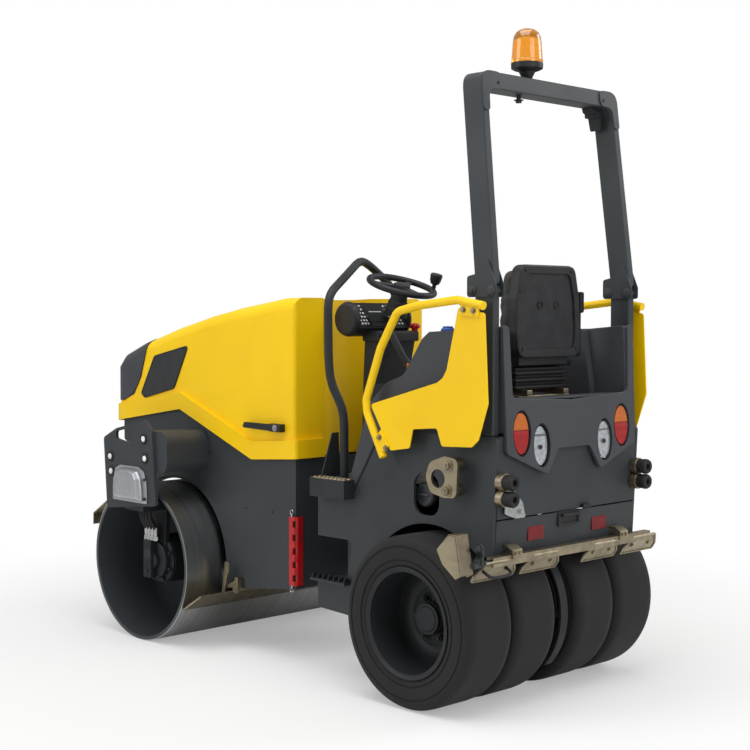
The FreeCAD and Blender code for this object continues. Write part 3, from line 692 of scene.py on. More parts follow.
class Look(Enum):
    """The machine's finishes."""

    # Powder coat on steel plate: satin, with a fine orange peel.
    FRAME = Coating("charcoal_powder_coat", "34383B", "2F3336", 0.5, 0.05, 260.0, 2.5, 0.05)
    # Black powder coat inside and under the machine: darker and duller.
    BLACK_COAT = Coating("black_powder_coat", "26282A", "1E2022", 0.55, 0.06, 160.0, 2.5, 0.05)
    # Enamelled hood and guards: strong yellow with a clear gloss.
    YELLOW = Coating("yellow_enamel", "F4C800", "EEBE00", 0.42, 0.04, 420.0, 3.5, 0.02, 0.06)
    # Red enamel on the articulation lock.
    RED = Coating("red_enamel", "B80C12", "9C0A0F", 0.38, 0.05, 60.0, 2.5, 0.03, 0.3)
    # Grained plastic covers beside and behind the driver.
    GREY_PLASTIC = Coating("moulded_grey_plastic", "3F4145", "383A3E", 0.52, 0.05, 220.0, 1.2, 0.08)
    # Black polypropylene trim and switches.
    BLACK_PLASTIC = Coating("moulded_black_plastic", "1D1E20", "27282A", 0.45, 0.06, 60.0, 1.2, 0.06)
    # Solid tyre rubber: matt, a little dusty, drawn with a coarse grain that shows.
    TYRE = Coating("tyre_rubber", "1B1B1B", "232222", 0.76, 0.08, 90.0, 1.6, 0.12, 0.0, 0.04)
    # Rubber buffers, seals and hoses.
    RUBBER = Coating("black_rubber", "1C1C1D", "262626", 0.62, 0.08, 40.0, 1.5, 0.08)
    # Leathercloth of the seat's cushions.
    VINYL = Coating("seat_vinyl", "28292B", "303133", 0.6, 0.06, 120.0, 2.2, 0.18, 0.0, 0.2)
    # Blue polyethylene cap.
    BLUE = Coating("blue_polyethylene", "2B4DA0", "223F86", 0.4, 0.05, 30.0, 1.2, 0.05)
    # White nylon of studs and dial marks.
    WHITE = Coating("white_nylon", "E6E6E2", "D2D2CC", 0.45, 0.05, 20.0, 1.0, 0.03)
    # Yellow-passivated zinc plate: olive and gold with darker stains.
    ZINC = Metal("passivated_zinc", "A1967E", "797060", 0.38, 0.1, 60.0, 2.0, 0.04, (1.0, 3.0, 1.0))
    # Bright zinc of bolts and hose fittings.
    BRIGHT = Metal("bright_zinc", "B9BABA", "9A9B9C", 0.3, 0.06, 12.0, 1.5, 0.02)
    # Cast aluminium cover, shot-blasted and lacquered.
    CAST = Metal("cast_aluminium", "B4B6B9", "A2A5A8", 0.4, 0.05, 90.0, 1.6, 0.06)
    # Ground steel of cylinder rods.
    ROD = Metal("ground_rod_steel", "9FA0A2", "86888A", 0.18, 0.04, 40.0, 1.5, 0.01, (1.0, 20.0, 1.0))
    # Copper-coloured rod of the gas strut.
    COPPER = Metal("coppered_rod", "B0693C", "8C4F2C", 0.3, 0.05, 20.0, 1.5, 0.01)
    # Rolled drum steel, polished by the ground in bands around it.
    DRUM = DrumSteel("rolled_drum_steel", "C6C7C8", "AFAEAC", 0.36, 0.06, 60.0, 3.0, 0.01, (0.35, 8.0, 8.0))
    # Cast iron of the engine's stand-in.
    IRON = Coating("painted_cast_iron", "3A3C3E", "2E3032", 0.6, 0.06, 80.0, 3.0, 0.2)
    # Amber polycarbonate of the beacon.
    AMBER = Lens("amber_polycarbonate", "F7A41C", "F2960E", 0.1, 0.03, 30.0, 2.0, 0.01, 0.85, 9.0)
    RED_LENS = Lens("red_lens", "C4161A", "AC1012", 0.16, 0.03, 20.0, 2.0, 0.01, 0.4, 5.0)
    # Dull red of the stick-on reflectors.
    REFLECTOR = Coating("red_reflector", "74161A", "641216", 0.35, 0.04, 20.0, 2.0, 0.02)
    ORANGE_LENS = Lens("orange_lens", "F0841A", "E47810", 0.2, 0.03, 20.0, 2.0, 0.01, 0.5, 5.0)
    CLEAR_LENS = Lens("clear_lens", "F2F5F7", "E6EAED", 0.06, 0.02, 20.0, 2.0, 0.01, 0.92, 7.0, "X")
    # Vacuum-metallised reflector with facets, seen through the clear lens.
    DISH = Metal("metallised_reflector", "F4F5F6", "9FA3A6", 0.2, 0.1, 9.0, 7.0, 1.2)
    # Perforated black steel sheet of the hood's side grilles; its holes are painted near-black as shade.
    MESH = Perforated("perforated_black_sheet", "37393B", "2E3032", 0.5, 0.05, 80.0, 2.0, 0.04)


def dress(obj: Object, name: str, look: Look, body: Body, replaces: Sequence[str] = (),
          angle: float = 32.0) -> Object:
    """Finishes a piece: its name, material, smoothness and the body that it moves with.

    Args:
        obj: The finished mesh.
        name: The piece's name.
        look: Its finish.
        body: The body that it rides on.
        replaces: CAD nodes that it stands for.
        angle: Edges that turn more than this many degrees stay sharp.

    Returns:
        The piece.
    """
    obj.name = name
    obj.data.name = name
    obj.data.materials.clear()
    obj.data.materials.append(look.value.material())
    pick(obj)
    bpy.ops.object.shade_smooth_by_angle(angle=math.radians(angle))
    modify(obj, "WEIGHTED_NORMAL", keep_sharp=True)
    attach(obj, body.value)
    if replaces:
        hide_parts(*replaces)
    LOG.info("%s rides on %s, %d faces", name, body.value, len(obj.data.polygons))
    return obj


@dataclass
class SolidParts:
    """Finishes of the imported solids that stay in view."""

    looks: tuple[tuple[Look, str], ...] = (
        (Look.FRAME,
         "side_panels rear_plate front_wall hinge_yoke grab_rail rops_feet rops_frame front_panels "
                     "front_walls carrier_arms drum_plates"),
        (Look.BLACK_COAT,
         "platform wheel_carrier hinge_block steering_column gas_strut drum_hangers drum_discs "
                          "cylinder_barrel rims_left rims_right seat_base"),
        (Look.YELLOW, "hood side_guards guard_tubes"),
        (Look.GREY_PLASTIC, "consoles rear_cover seat_box nose_panel"),
        (Look.BLACK_PLASTIC, "instrument_pod beacon_base steering_wheel hood_latches"),
        (Look.TYRE, "tyre_left_inner tyre_left_outer tyre_right_inner tyre_right_outer"),
        (Look.RUBBER, "rear_buffers drum_hoses"),
        (Look.VINYL, "seat_cushion seat_back"),
        (Look.ZINC, "seat_rails rear_lugs tyre_scrapers drum_scrapers"),
        (Look.RED, "lock_bar"),
        (Look.CAST, "drum_covers"),
        (Look.ROD, "cylinder_rod"),
        (Look.DRUM, "drum_shell"),
        (Look.IRON, "engine_block"),
        (Look.MESH, "hood_grilles"),
        (Look.AMBER, "beacon_dome"),
        (Look.RED_LENS, "tail_lamps"),
        (Look.CLEAR_LENS, "work_lamps"),
    )

    def build(self) -> None:
        """Gives every solid its material."""
        for look, names in self.looks:
            for name in names.split():
                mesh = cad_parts[name].data
                mesh.materials.clear()
                mesh.materials.append(look.value.material())
        LOG.info("solids dressed")


@dataclass
class Studio:
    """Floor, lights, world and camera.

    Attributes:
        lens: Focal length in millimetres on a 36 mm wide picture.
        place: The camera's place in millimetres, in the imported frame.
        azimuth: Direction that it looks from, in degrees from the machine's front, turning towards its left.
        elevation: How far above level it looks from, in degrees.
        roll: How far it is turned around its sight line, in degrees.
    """

    lens: float = 68.5
    place: tuple[float, float, float] = (4376.0, 4645.5, 1499.0)
    azimuth: float = 135.78
    elevation: float = 2.44
    roll: float = 0.07

    def camera(self) -> None:
        """Makes the camera at the photograph's viewing angle."""
        azimuth, elevation = math.radians(self.azimuth), math.radians(self.elevation)
        back = Vector((math.sin(azimuth) * math.cos(elevation), -math.cos(azimuth) * math.cos(elevation),
                       math.sin(elevation)))
        bpy.ops.object.camera_add(location=Vector(self.place) * MM)
        camera = bpy.context.active_object
        camera.rotation_mode = "QUATERNION"
        level = (-back).to_track_quat("-Z", "Y")
        camera.rotation_quaternion = level @ Matrix.Rotation(math.radians(self.roll), 3,
                                                             "Z").to_quaternion()
        camera.data.lens = self.lens
        camera.data.sensor_width = 36.0
        camera.data.clip_end = 200.0
        bpy.context.scene.camera = camera

    def lamp(self, place: Vector, aim: Vector, size: float, watts: float) -> None:
        """Adds a square soft light.

        Args:
            place: Where it stands.
            aim: What it points at.
            size: Side of the light in metres.
            watts: Its power.
        """
        bpy.ops.object.light_add(type="AREA", location=place)
        lamp = bpy.context.active_object
        lamp.data.size = size
        lamp.data.energy = watts
        lamp.rotation_mode = "QUATERNION"
        lamp.rotation_quaternion = (aim - place).to_track_quat("-Z", "Y")

    def world(self, light: float = 0.42) -> None:
        """Lights evenly, shows white to the camera and through glass, and gives mirrors a little more than
        the even light.
        """
        world = bpy.data.worlds.new("studio_white")
        world.use_nodes = True
        tree = world.node_tree
        rays = add_node(tree, "ShaderNodeLightPath")
        seen = add_node(tree, "ShaderNodeMath", {0: rays.outputs["Is Camera Ray"],
                                                 1: rays.outputs["Is Transmission Ray"]},
                                                 operation="MAXIMUM")
        mirrored = add_node(tree, "ShaderNodeMath", {0: rays.outputs["Is Glossy Ray"], 1: 0.08, 2: light},
                            operation="MULTIPLY_ADD")
        strength = add_node(tree, "ShaderNodeMix", {0: seen.outputs[0], 2: mirrored.outputs[0], 3: 1.0})
        tree.links.new(strength.outputs[0], tree.nodes["Background"].inputs["Strength"])
        tree.nodes["Background"].inputs["Color"].default_value = (1.0, 1.0, 1.0, 1.0)
        bpy.context.scene.world = world

    def floor(self) -> None:
        """Lays a pale floor that reads white in the light and keeps the machine's shadow."""
        deselect()
        bpy.ops.mesh.primitive_circle_add(vertices=96, radius=40.0, fill_type="NGON")
        ground = bpy.context.active_object
        ground.name = "floor"
        material = bpy.data.materials.new("pale_studio_floor")
        material.use_nodes = True
        tree = material.node_tree
        tree.nodes.remove(tree.nodes["Principled BSDF"])
        rays = add_node(tree, "ShaderNodeLightPath")
        matt = add_node(tree, "ShaderNodeBsdfDiffuse", {"Color": linear("E4E4E4")})
        place = add_node(tree, "ShaderNodeTexCoord").outputs["Object"]
        away = add_node(tree, "ShaderNodeVectorMath", {0: place}, operation="LENGTH")
        far = add_node(tree, "ShaderNodeMapRange",
                       {"Value": away.outputs["Value"], "From Min": 1.3, "From Max": 3.4,
                                                    "To Min": 0.34, "To Max": 1.0},
                                                    interpolation_type="SMOOTHSTEP")
        share = add_node(tree, "ShaderNodeMath",
                         {0: rays.outputs["Is Camera Ray"], 1: far.outputs["Result"]},
                         operation="MULTIPLY")
        glow = add_node(tree, "ShaderNodeEmission", {"Color": linear("FFFFFF"), "Strength": 1.0})
        both = add_node(tree, "ShaderNodeMixShader",
                        {0: share.outputs[0], 1: matt.outputs[0], 2: glow.outputs[0]})
        tree.links.new(both.outputs[0], tree.nodes["Material Output"].inputs["Surface"])
        ground.data.materials.append(material)

    def build(self) -> None:
        """Sets up the whole studio."""
        self.camera()
        self.world()
        self.floor()
        centre = Vector((0.0, 0.0, 0.9))
        self.lamp(Vector((1.5, 1.0, 6.5)), centre, 5.0, 300.0)
        self.lamp(Vector((6.0, -2.5, 3.6)), centre, 3.5, 120.0)
        self.lamp(Vector((1.0, 7.0, 3.2)), centre, 3.5, 120.0)
        self.lamp(Vector((-5.5, 3.5, 4.6)), centre, 3.0, 130.0)
        view = bpy.context.scene.view_settings
        view.view_transform = "Standard"


# Pieces


@dataclass
class Wheels:
    """Tyres, rim flanges and wheel nuts of the four rear wheels.

    Attributes:
        axle: The wheels' axle as (y, z).
        radius: Outer radius of a tyre.
        rows: Name, inner face and outer face of each tyre on one side.
        nuts: How many wheel nuts hold a rim.
        nut_circle: Radius of the circle that they stand on.
    """

    axle: tuple[float, float] = (860.0, 332.0)
    radius: float = 332.0
    rows: tuple[tuple[str, float, float], ...] = (("inner", 66.0, 306.0), ("outer", 323.0, 572.0))
    nuts: int = 6
    nut_circle: float = 82.0

    def centre(self, x: float) -> Vector:
        """Gives the point of the axle at a distance from the machine's middle."""
        return at(x, *self.axle)

    def tyre(self, inner: float, outer: float) -> Object:
        """Turns one tyre with its shoulders, sidewall rings and beads.

        Args:
            inner: Distance of its inner face from the middle.
            outer: Distance of its outer face.

        Returns:
            The tyre.
        """
        half, top = (outer - inner) / 2.0, self.radius
        side = [(half - 46, top), (half - 26, top - 1.5), (half - 12, top - 8), (half - 3, top - 20),
                (half, top - 33), (half - 0.6, top - 37), (half - 4, top - 39), (half - 4, top - 44),
                (half - 0.5, top - 46), (half, top - 60), (half - 1, top - 76), (half - 2.5, top - 88),
                (half - 7, top - 90), (half - 7, top - 95), (half - 3.5, top - 97), (half - 5, top - 106),
                (half - 11, top - 116), (half - 16, top - 124)]
        profile = side + [(-x, r) for x, r in reversed(side)]
        return turned(profile, self.centre((inner + outer) / 2.0), Axis.X, 128)

    def rim_lip(self, face: float, inward: float) -> Object:
        """Turns the rolled flange at a rim's edge.

        Args:
            face: Place of the tyre's face.
            inward: 1 where the rim lies towards the middle from that face, or -1.

        Returns:
            The flange.
        """
        steps = [(10, 195), (10, 207.5), (3, 210), (-1, 214), (-4, 214), (-6, 211), (-4, 206), (2, 199),
                 (6, 195)]
        profile = [(-x * inward, r) for x, r in steps]
        return turned(profile, self.centre(face), Axis.X, 96)

    def hub(self) -> Object:
        """Makes the nuts and washers on the wheel disc."""
        face, made = 404.0, []
        for i in range(self.nuts):
            turn = 2.0 * math.pi * i / self.nuts
            y = self.axle[0] + self.nut_circle * math.cos(turn)
            z = self.axle[1] + self.nut_circle * math.sin(turn)
            made.append(hexagon(at(face, y, z), Vector((1, 0, 0)), 24.0, 18.0))
            made.append(bar(at(face, y, z), at(face + 30, y, z), 7.5, 16, 1.0))
        return join(*made)

    def disc_ring(self) -> Object:
        """Turns the pressed ring and the raised hub seat on the wheel disc."""
        profile = [(392, 194), (404, 194), (406, 178), (412, 160), (414, 140), (410, 124), (404.5, 116),
                   (404.5, 112), (402, 112), (402, 190)]
        return turned(profile, self.centre(0.0), Axis.X, 96)

    def cap(self) -> Object:
        """Turns the stepped cover on the stub axle's end."""
        profile = [(404.4, 0.0), (404.4, 64), (430, 64), (436, 60), (438, 52), (452.4, 50), (456, 46),
                   (458, 0.0)]
        return turned(profile, self.centre(0.0), Axis.X, 64, whole=False)

    def build(self) -> None:
        """Makes the wheels of both sides."""
        for side, sign in SIDES.items():
            body = Body.WHEELS_LEFT if sign > 0 else Body.WHEELS_RIGHT
            for row, inner, outer in self.rows:
                tyre = self.tyre(inner, outer)
                if sign < 0:
                    tyre = self.other(tyre)
                dress(tyre, f"tyre_skin_{side}_{row}", Look.TYRE, body, [f"tyre_{side}_{row}"])
            lips = join(*(self.rim_lip(face, way) for _, inner, outer in self.rows
                          for face, way in ((outer - 8, 1), (inner + 8, -1))))
            parts = [("rim_flanges", lips, Look.BLACK_COAT, body, "black_metal"),
                     ("wheel_disc", self.disc_ring(), Look.BLACK_COAT, body, "black_metal"),
                     ("wheel_nuts", self.hub(), Look.BLACK_COAT, body, "black_metal"),
                     ("axle_cap", self.cap(), Look.BLACK_COAT, Body.REAR, "black_metal")]
            for name, piece, look, rides, slot in parts:
                dress(self.other(piece) if sign < 0 else piece, f"{name}_{side}", look, rides)

    def other(self, piece: Object) -> Object:
        """Moves a piece to the right side."""
        made = twin(piece)
        bpy.data.objects.remove(piece)
        return made


@dataclass
class DrumCarrier:
    """What stands on the drum's side plates: studs, bulged cover, motor bolts and hose fittings.

    Attributes:
        plate_x: Outer face of the side plates.
        studs: Places of the rubber mounts' studs as (y, z).
        ports: Stations of the hoses along Y.
        port_z: Height of the motor block's top.
        centre: The drum's axis as (y, z).
    """

    plate_x: float = 645.0
    studs: tuple[tuple[float, float], ...] = ((-721, 935), (-987, 839), (-712, 847), (-981, 770))
    ports: tuple[float, ...] = (-864.0, -842.0, -818.0, -792.0)
    port_z: float = 452.0
    centre: tuple[float, float] = (-823.0, 360.0)

    def stud_rings(self) -> Object:
        """Turns the black rubber rings around the studs."""
        profile = [(0.2, 15), (0.2, 25), (3, 25), (5, 22), (5, 15)]
        return join(*(turned(profile, at(self.plate_x, y, z), Axis.X, 32) for y, z in self.studs))

    def stud_heads(self) -> Object:
        """Turns the pale domed stud heads."""
        profile = [(0.2, 0), (0.2, 14), (6, 13), (9, 9), (10, 0)]
        return join(*(turned(profile, at(self.plate_x, y, z), Axis.X, 24, whole=False) for y,
                      z in self.studs))

    def cover(self) -> Object:
        """Makes the bulged cast cover with its flange and screws."""
        face = self.plate_x
        flange = [(-962, 642), (-694, 642), (-694, 700), (-700, 745), (-718, 786), (-756, 806), (-900, 806),
                  (-938, 790), (-955, 750), (-962, 700)]
        bulge = [(-938, 652), (-718, 652), (-722, 700), (-730, 752), (-752, 786), (-790, 796), (-880, 796),
                 (-918, 782), (-934, 742)]
        base = plate(flange, Axis.X, face + 0.3, face + 7, 1.5)
        dome = outline(bulge, Axis.X, face + 6)
        edit_all(dome)
        bpy.ops.mesh.extrude_region_move(TRANSFORM_OT_translate={"value": (14 * MM, 0, 0)})
        bpy.ops.mesh.extrude_region_move(TRANSFORM_OT_translate={"value": (15 * MM, 0, 0)})
        middle = at(face + 35, -828, 735)
        bpy.ops.transform.resize(value=(1.0, 0.84, 0.82), center_override=middle)
        bpy.ops.object.mode_set(mode="OBJECT")
        bevel(outward(dome), 5.0, 3, 15.0)
        return join(base, dome)

    def cover_screws(self) -> Object:
        """Makes the four black screws of the cover."""
        spots = ((-950, 664), (-706, 664), (-706, 752), (-950, 752))
        return join(*(bar(at(self.plate_x + 7, y, z), at(self.plate_x + 13, y, z), 7.5, 20, 1.0)
                      for y, z in spots))

    def fittings(self) -> Object:
        """Makes the bright crimped ferrules and nuts at the hoses' lower ends."""
        made = []
        for y in self.ports:
            x = 530.0
            made.append(bar(at(x, y, self.port_z + 26), at(x, y, self.port_z + 62), 11.5, 24, 1.5))
            made.append(bar(at(x, y, self.port_z + 0.5), at(x, y, self.port_z + 20), 13.5, 6, 1.0))
            made.append(bar(at(x, y, self.port_z + 18), at(x, y, self.port_z + 30), 10.5, 20))
        return join(*made)

    def motor(self) -> Object:
        """Turns the stepped motor housing with its bolts, outside the hanger arm."""
        y, z = self.centre
        profile = [(478, 0), (478, 108), (486, 108), (490, 102), (490, 88), (512, 84), (516, 78), (516, 40),
                   (534, 38), (536, 0)]
        housing = turned(profile, at(0, y, z), Axis.X, 64, whole=False)
        bolts = []
        for i in range(8):
            turn = 2.0 * math.pi * (i + 0.5) / 8
            spot = at(490, y + 96 * math.cos(turn), z + 96 * math.sin(turn))
            bolts.append(hexagon(spot, Vector((1, 0, 0)), 15.0, 10.0))
        return join(housing, *bolts)

    def block(self) -> Object:
        """Makes the port block in front of the motor, with its round recess and bolts."""
        y = -840.0
        body = block(at(516, y - 30, 280), at(548, y + 30, self.port_z - 0.3), 3.0)
        hole = turned([(538, 0), (538, 26), (550, 26), (550, 0)], at(0, y, 392), Axis.X, 40, whole=False)
        body = cut(body, hole)
        bolts = [hexagon(at(538, y + dy, 392 + dz), Vector((1, 0, 0)), 9.0, 6.0)
                 for dy, dz in ((-14, 0), (14, 0), (0, 14), (0, -14))]
        screw = bar(at(548, y, 310), at(553, y, 310), 8.0, 6, 1.0)
        return join(body, screw, *bolts)

    def build(self) -> None:
        """Makes the pieces on both sides."""
        pieces = ((self.stud_rings, "stud_rings", Look.RUBBER, "rubber", ()),
                  (self.stud_heads, "stud_heads", Look.WHITE, "silver", ()),
                  (self.cover, "cast_cover", Look.CAST, "silver", ()),
                  (self.cover_screws, "cover_screws", Look.BLACK_COAT, "black_metal", ()),
                  (self.fittings, "hose_fittings", Look.BRIGHT, "silver", ()),
                  (self.motor, "drum_motor", Look.BLACK_COAT, "black_metal", ()),
                  (self.block, "port_block", Look.BLACK_COAT, "black_metal", ()))
        for make, name, look, slot, nodes in pieces:
            left = make()
            right = twin(left)
            dress(left, f"{name}_left", look, Body.FRONT, ["drum_covers"] if name == "cast_cover"
                  else nodes)
            dress(right, f"{name}_right", look, Body.FRONT, nodes)


@dataclass
class DrumScraper:
    """Levers, brackets and bolts of the scraper behind the drum.

    Attributes:
        lever_x: Place of the left lever.
    """

    lever_x: float = 436.0

    def lever(self) -> Object:
        """Makes the cranked lever with its rounded head."""
        x = self.lever_x
        arm = plate([(-424, 232), (-404, 236), (-392, 300), (-380, 338), (-398, 344), (-412, 306)],
                    Axis.X, x - 4, x + 4, 1.5)
        head = plate([(-402, 340), (-372, 340), (-368, 392), (-400, 396)], Axis.X, x - 3, x + 3, 1.0, 9.0)
        rib = plate([(-394, 350), (-380, 350), (-378, 384), (-392, 386)], Axis.X, x + 3, x + 5, 1.0, 5.0)
        return join(arm, head, rib)

    def bracket(self) -> Object:
        """Makes the bent bracket that the lever turns in."""
        x = self.lever_x
        ear = plate([(-424, 292), (-398, 288), (-322, 322), (-322, 262), (-342, 258), (-356, 282),
                     (-400, 276)],
                    Axis.X, x - 12, x - 7, 1.0, 4.0)
        foot = block(at(x - 38, -346, 268), at(x - 9, -322, 330), 3.0)
        bolts = [hexagon(at(x - 7, y, z), Vector((1, 0, 0)), 11.0, 7.0) for y,
                 z in ((-398, 300), (-340, 304),
                                                                                     (-340, 274))]
        return join(ear, foot, *bolts)

    def build(self) -> None:
        """Makes the levers of both sides."""
        for make, name in ((self.lever, "scraper_lever"), (self.bracket, "scraper_bracket")):
            left = make()
            right = twin(left)
            dress(left, f"{name}_left", Look.ZINC, Body.FRONT)
            dress(right, f"{name}_right", Look.ZINC, Body.FRONT)


def oval(x: float, z: float, half_w: float, half_h: float, start: float = 0.0, turn: float = 360.0,
         steps: int = 40) -> list[tuple[float, float]]:
    """Gives the points of an upright oval, or of a part of one.

    Args:
        x: Its middle across.
        z: Its middle height.
        half_w: Half of its width.
        half_h: Half of its height.
        start: Angle of the first point in degrees.
        turn: How far round the points go; 180 gives a half with a straight side.
        steps: Number of pieces.

    Returns:
        The points in order.
    """
    count = steps if turn >= 360.0 else steps + 1
    angles = (math.radians(start + turn * i / steps) for i in range(count))
    return [(x + half_w * math.cos(a), z + half_h * math.sin(a)) for a in angles]


@dataclass
class RollBar:
    """Folding roll-over bar with its feet, cheeks, pins and the rotating beacon.

    Attributes:
        inner: Inner face of a post.
        outer: Outer face of a post.
        front: Front face of a post at the fold.
        rear: Rear face of a post at the fold.
        fold: Height at which foot and post part.
        top: Height of the bar's upper face.
        lean_in: How far a post leans inwards up to the top.
        lean_forward: How far it leans forwards.
        pin: Fold pin as (y, z).
        beacon: Place of the beacon as (x, y).
    """

    inner: float = 398.0
    outer: float = 434.0
    front: float = 1084.0
    rear: float = 1180.0
    fold: float = 1610.0
    top: float = 2400.0
    lean_in: float = 21.0
    lean_forward: float = 90.0
    pin: tuple[float, float] = (1168.0, 1585.0)
    beacon: tuple[float, float] = (100.0, 1050.0)

    def bow(self) -> Object:
        """Makes posts and beam in one, with rounded corners, leaning forwards."""
        low, high, under = self.fold, self.top, self.top - 65.0
        left = [(self.outer, low), (self.outer - self.lean_in, high)]
        inside = [(self.inner - self.lean_in, under), (self.inner, low)]
        points = left + [(-x, z) for x, z in reversed(left)] + [(-x, z) for x,
                                                                z in reversed(inside)] + inside
        bow = plate(points, Axis.Y, self.front, self.rear, 0.0, 62.0)
        for vertex in bow.data.vertices:
            vertex.co.y -= self.lean_forward * MM * (vertex.co.z / MM - low) / (high - low)
        return bevel(bow, 6.0, 3, 40.0)

    def corners(self) -> Object:
        """Makes the cast corner patches where posts and beam meet."""
        outer, inner, low = self.outer - self.lean_in, self.inner - self.lean_in, self.top - 150.0
        shape = [(outer + 3, low), (outer + 1, self.top + 1), (300, self.top + 1), (300, self.top - 66),
                 (inner - 1, self.top - 66), (inner + 3, low)]
        patch = plate(shape, Axis.Y, self.rear - 2, self.rear + 5, 0.0, 58.0)
        for vertex in patch.data.vertices:
            vertex.co.y -= self.lean_forward * MM * (vertex.co.z / MM - self.fold) / (self.top - self.fold)
        left = join(bevel(patch, 2.0, 2, 40.0),
                    hexagon(at(322, self.rear - 82, self.top - 40), Vector((0, 1, 0)), 9.0, 5.0))
        return join(left, twin(left))

    def cheeks(self) -> Object:
        """Makes the cheek plates around the fold."""
        y, z = self.pin
        shape = [(1050, 1562), (1192, 1562), (1192, 1608), (1150, 1705), (1104, 1650), (1050, 1640)]
        made = []
        for x in (self.inner - 6, self.outer + 0.5):
            made.append(plate(shape, Axis.X, x, x + 5, 1.0, 14.0))
        left = join(*made)
        return join(left, twin(left))

    def feet(self) -> Object:
        """Makes the two standing posts under the fold."""
        post = block(at(self.inner, self.front, 1051), at(self.outer, self.rear - 4, self.fold - 4), 6.0, 3)
        tongue = block(at(self.inner, self.front + 8, 800), at(423.5, self.rear - 12, 1051), 2.0)
        left = join(post, tongue)
        return join(left, twin(left))

    def pins(self) -> Object:
        """Makes the fold bolt and the locking pin with their heads."""
        made = []
        for y, z in (self.pin, (1076.0, 1588.0)):
            made.append(bar(at(self.inner - 12, y, z), at(self.outer + 9, y, z), 11.0, 32))
            for face, way in ((self.outer + 5.5, 1), (self.inner - 6, -1)):
                made.append(turned([(0, 0), (0, 21), (5 * way, 20), (7 * way, 13), (12 * way, 12),
                                    (13 * way, 0)],
                                   at(face, y, z), Axis.X, 32, whole=False))
        left = join(*made)
        return join(left, twin(left))

    def clamp(self) -> Object:
        """Makes the black clamp and the hanging bolt under the beam."""
        body = plate([(-366, 2334), (-292, 2334), (-300, 2316), (-334, 2300), (-350, 2246),
                      (-362, 2246)], Axis.Y,
                     1010, 1062, 3.0)
        strap = block(at(-344, 1006, 2296), at(-318, 1066, 2322), 3.0)
        bolt = join(bar(at(151, 1052, 2306), at(151, 1052, 2335), 9.0, 24, 1.0),
                    hexagon(at(151, 1052, 2318), Vector((0, 0, -1)), 22.0, 10.0))
        return join(body, strap, bolt)

    def beacon_foot(self) -> Object:
        """Turns the beacon's tapered stem and its ring."""
        profile = [(0, 0), (0, 20), (10, 22), (30, 32), (36, 50), (42, 61), (60, 62), (64, 60), (64, 0)]
        return turned(profile, at(*self.beacon, self.top), Axis.Z, 64, whole=False)

    def beacon_lens(self) -> Object:
        """Turns the domed amber lens with its moulded steps."""
        profile = [(63, 0), (63, 61), (72, 62), (76, 60), (146, 55), (166, 51), (180, 43), (189, 31),
                   (194, 16), (195, 0)]
        return turned(profile, at(*self.beacon, self.top), Axis.Z, 72, whole=False)

    def build(self) -> None:
        """Makes the bar and what stands on it."""
        dress(self.bow(), "roll_bar", Look.FRAME, Body.ROPS, ["rops_frame"])
        dress(self.corners(), "roll_bar_corners", Look.FRAME, Body.ROPS)
        dress(self.cheeks(), "roll_bar_cheeks", Look.FRAME, Body.ROPS)
        dress(self.feet(), "roll_bar_feet", Look.FRAME, Body.REAR, ["rops_feet"])
        dress(self.pins(), "fold_pins", Look.IRON, Body.REAR)
        dress(self.clamp(), "beam_clamp", Look.BLACK_COAT, Body.ROPS)
        dress(self.beacon_foot(), "beacon_foot", Look.BLACK_PLASTIC, Body.ROPS,
              ["beacon_base"])
        dress(self.beacon_lens(), "beacon_lens", Look.AMBER, Body.ROPS, ["beacon_dome"])


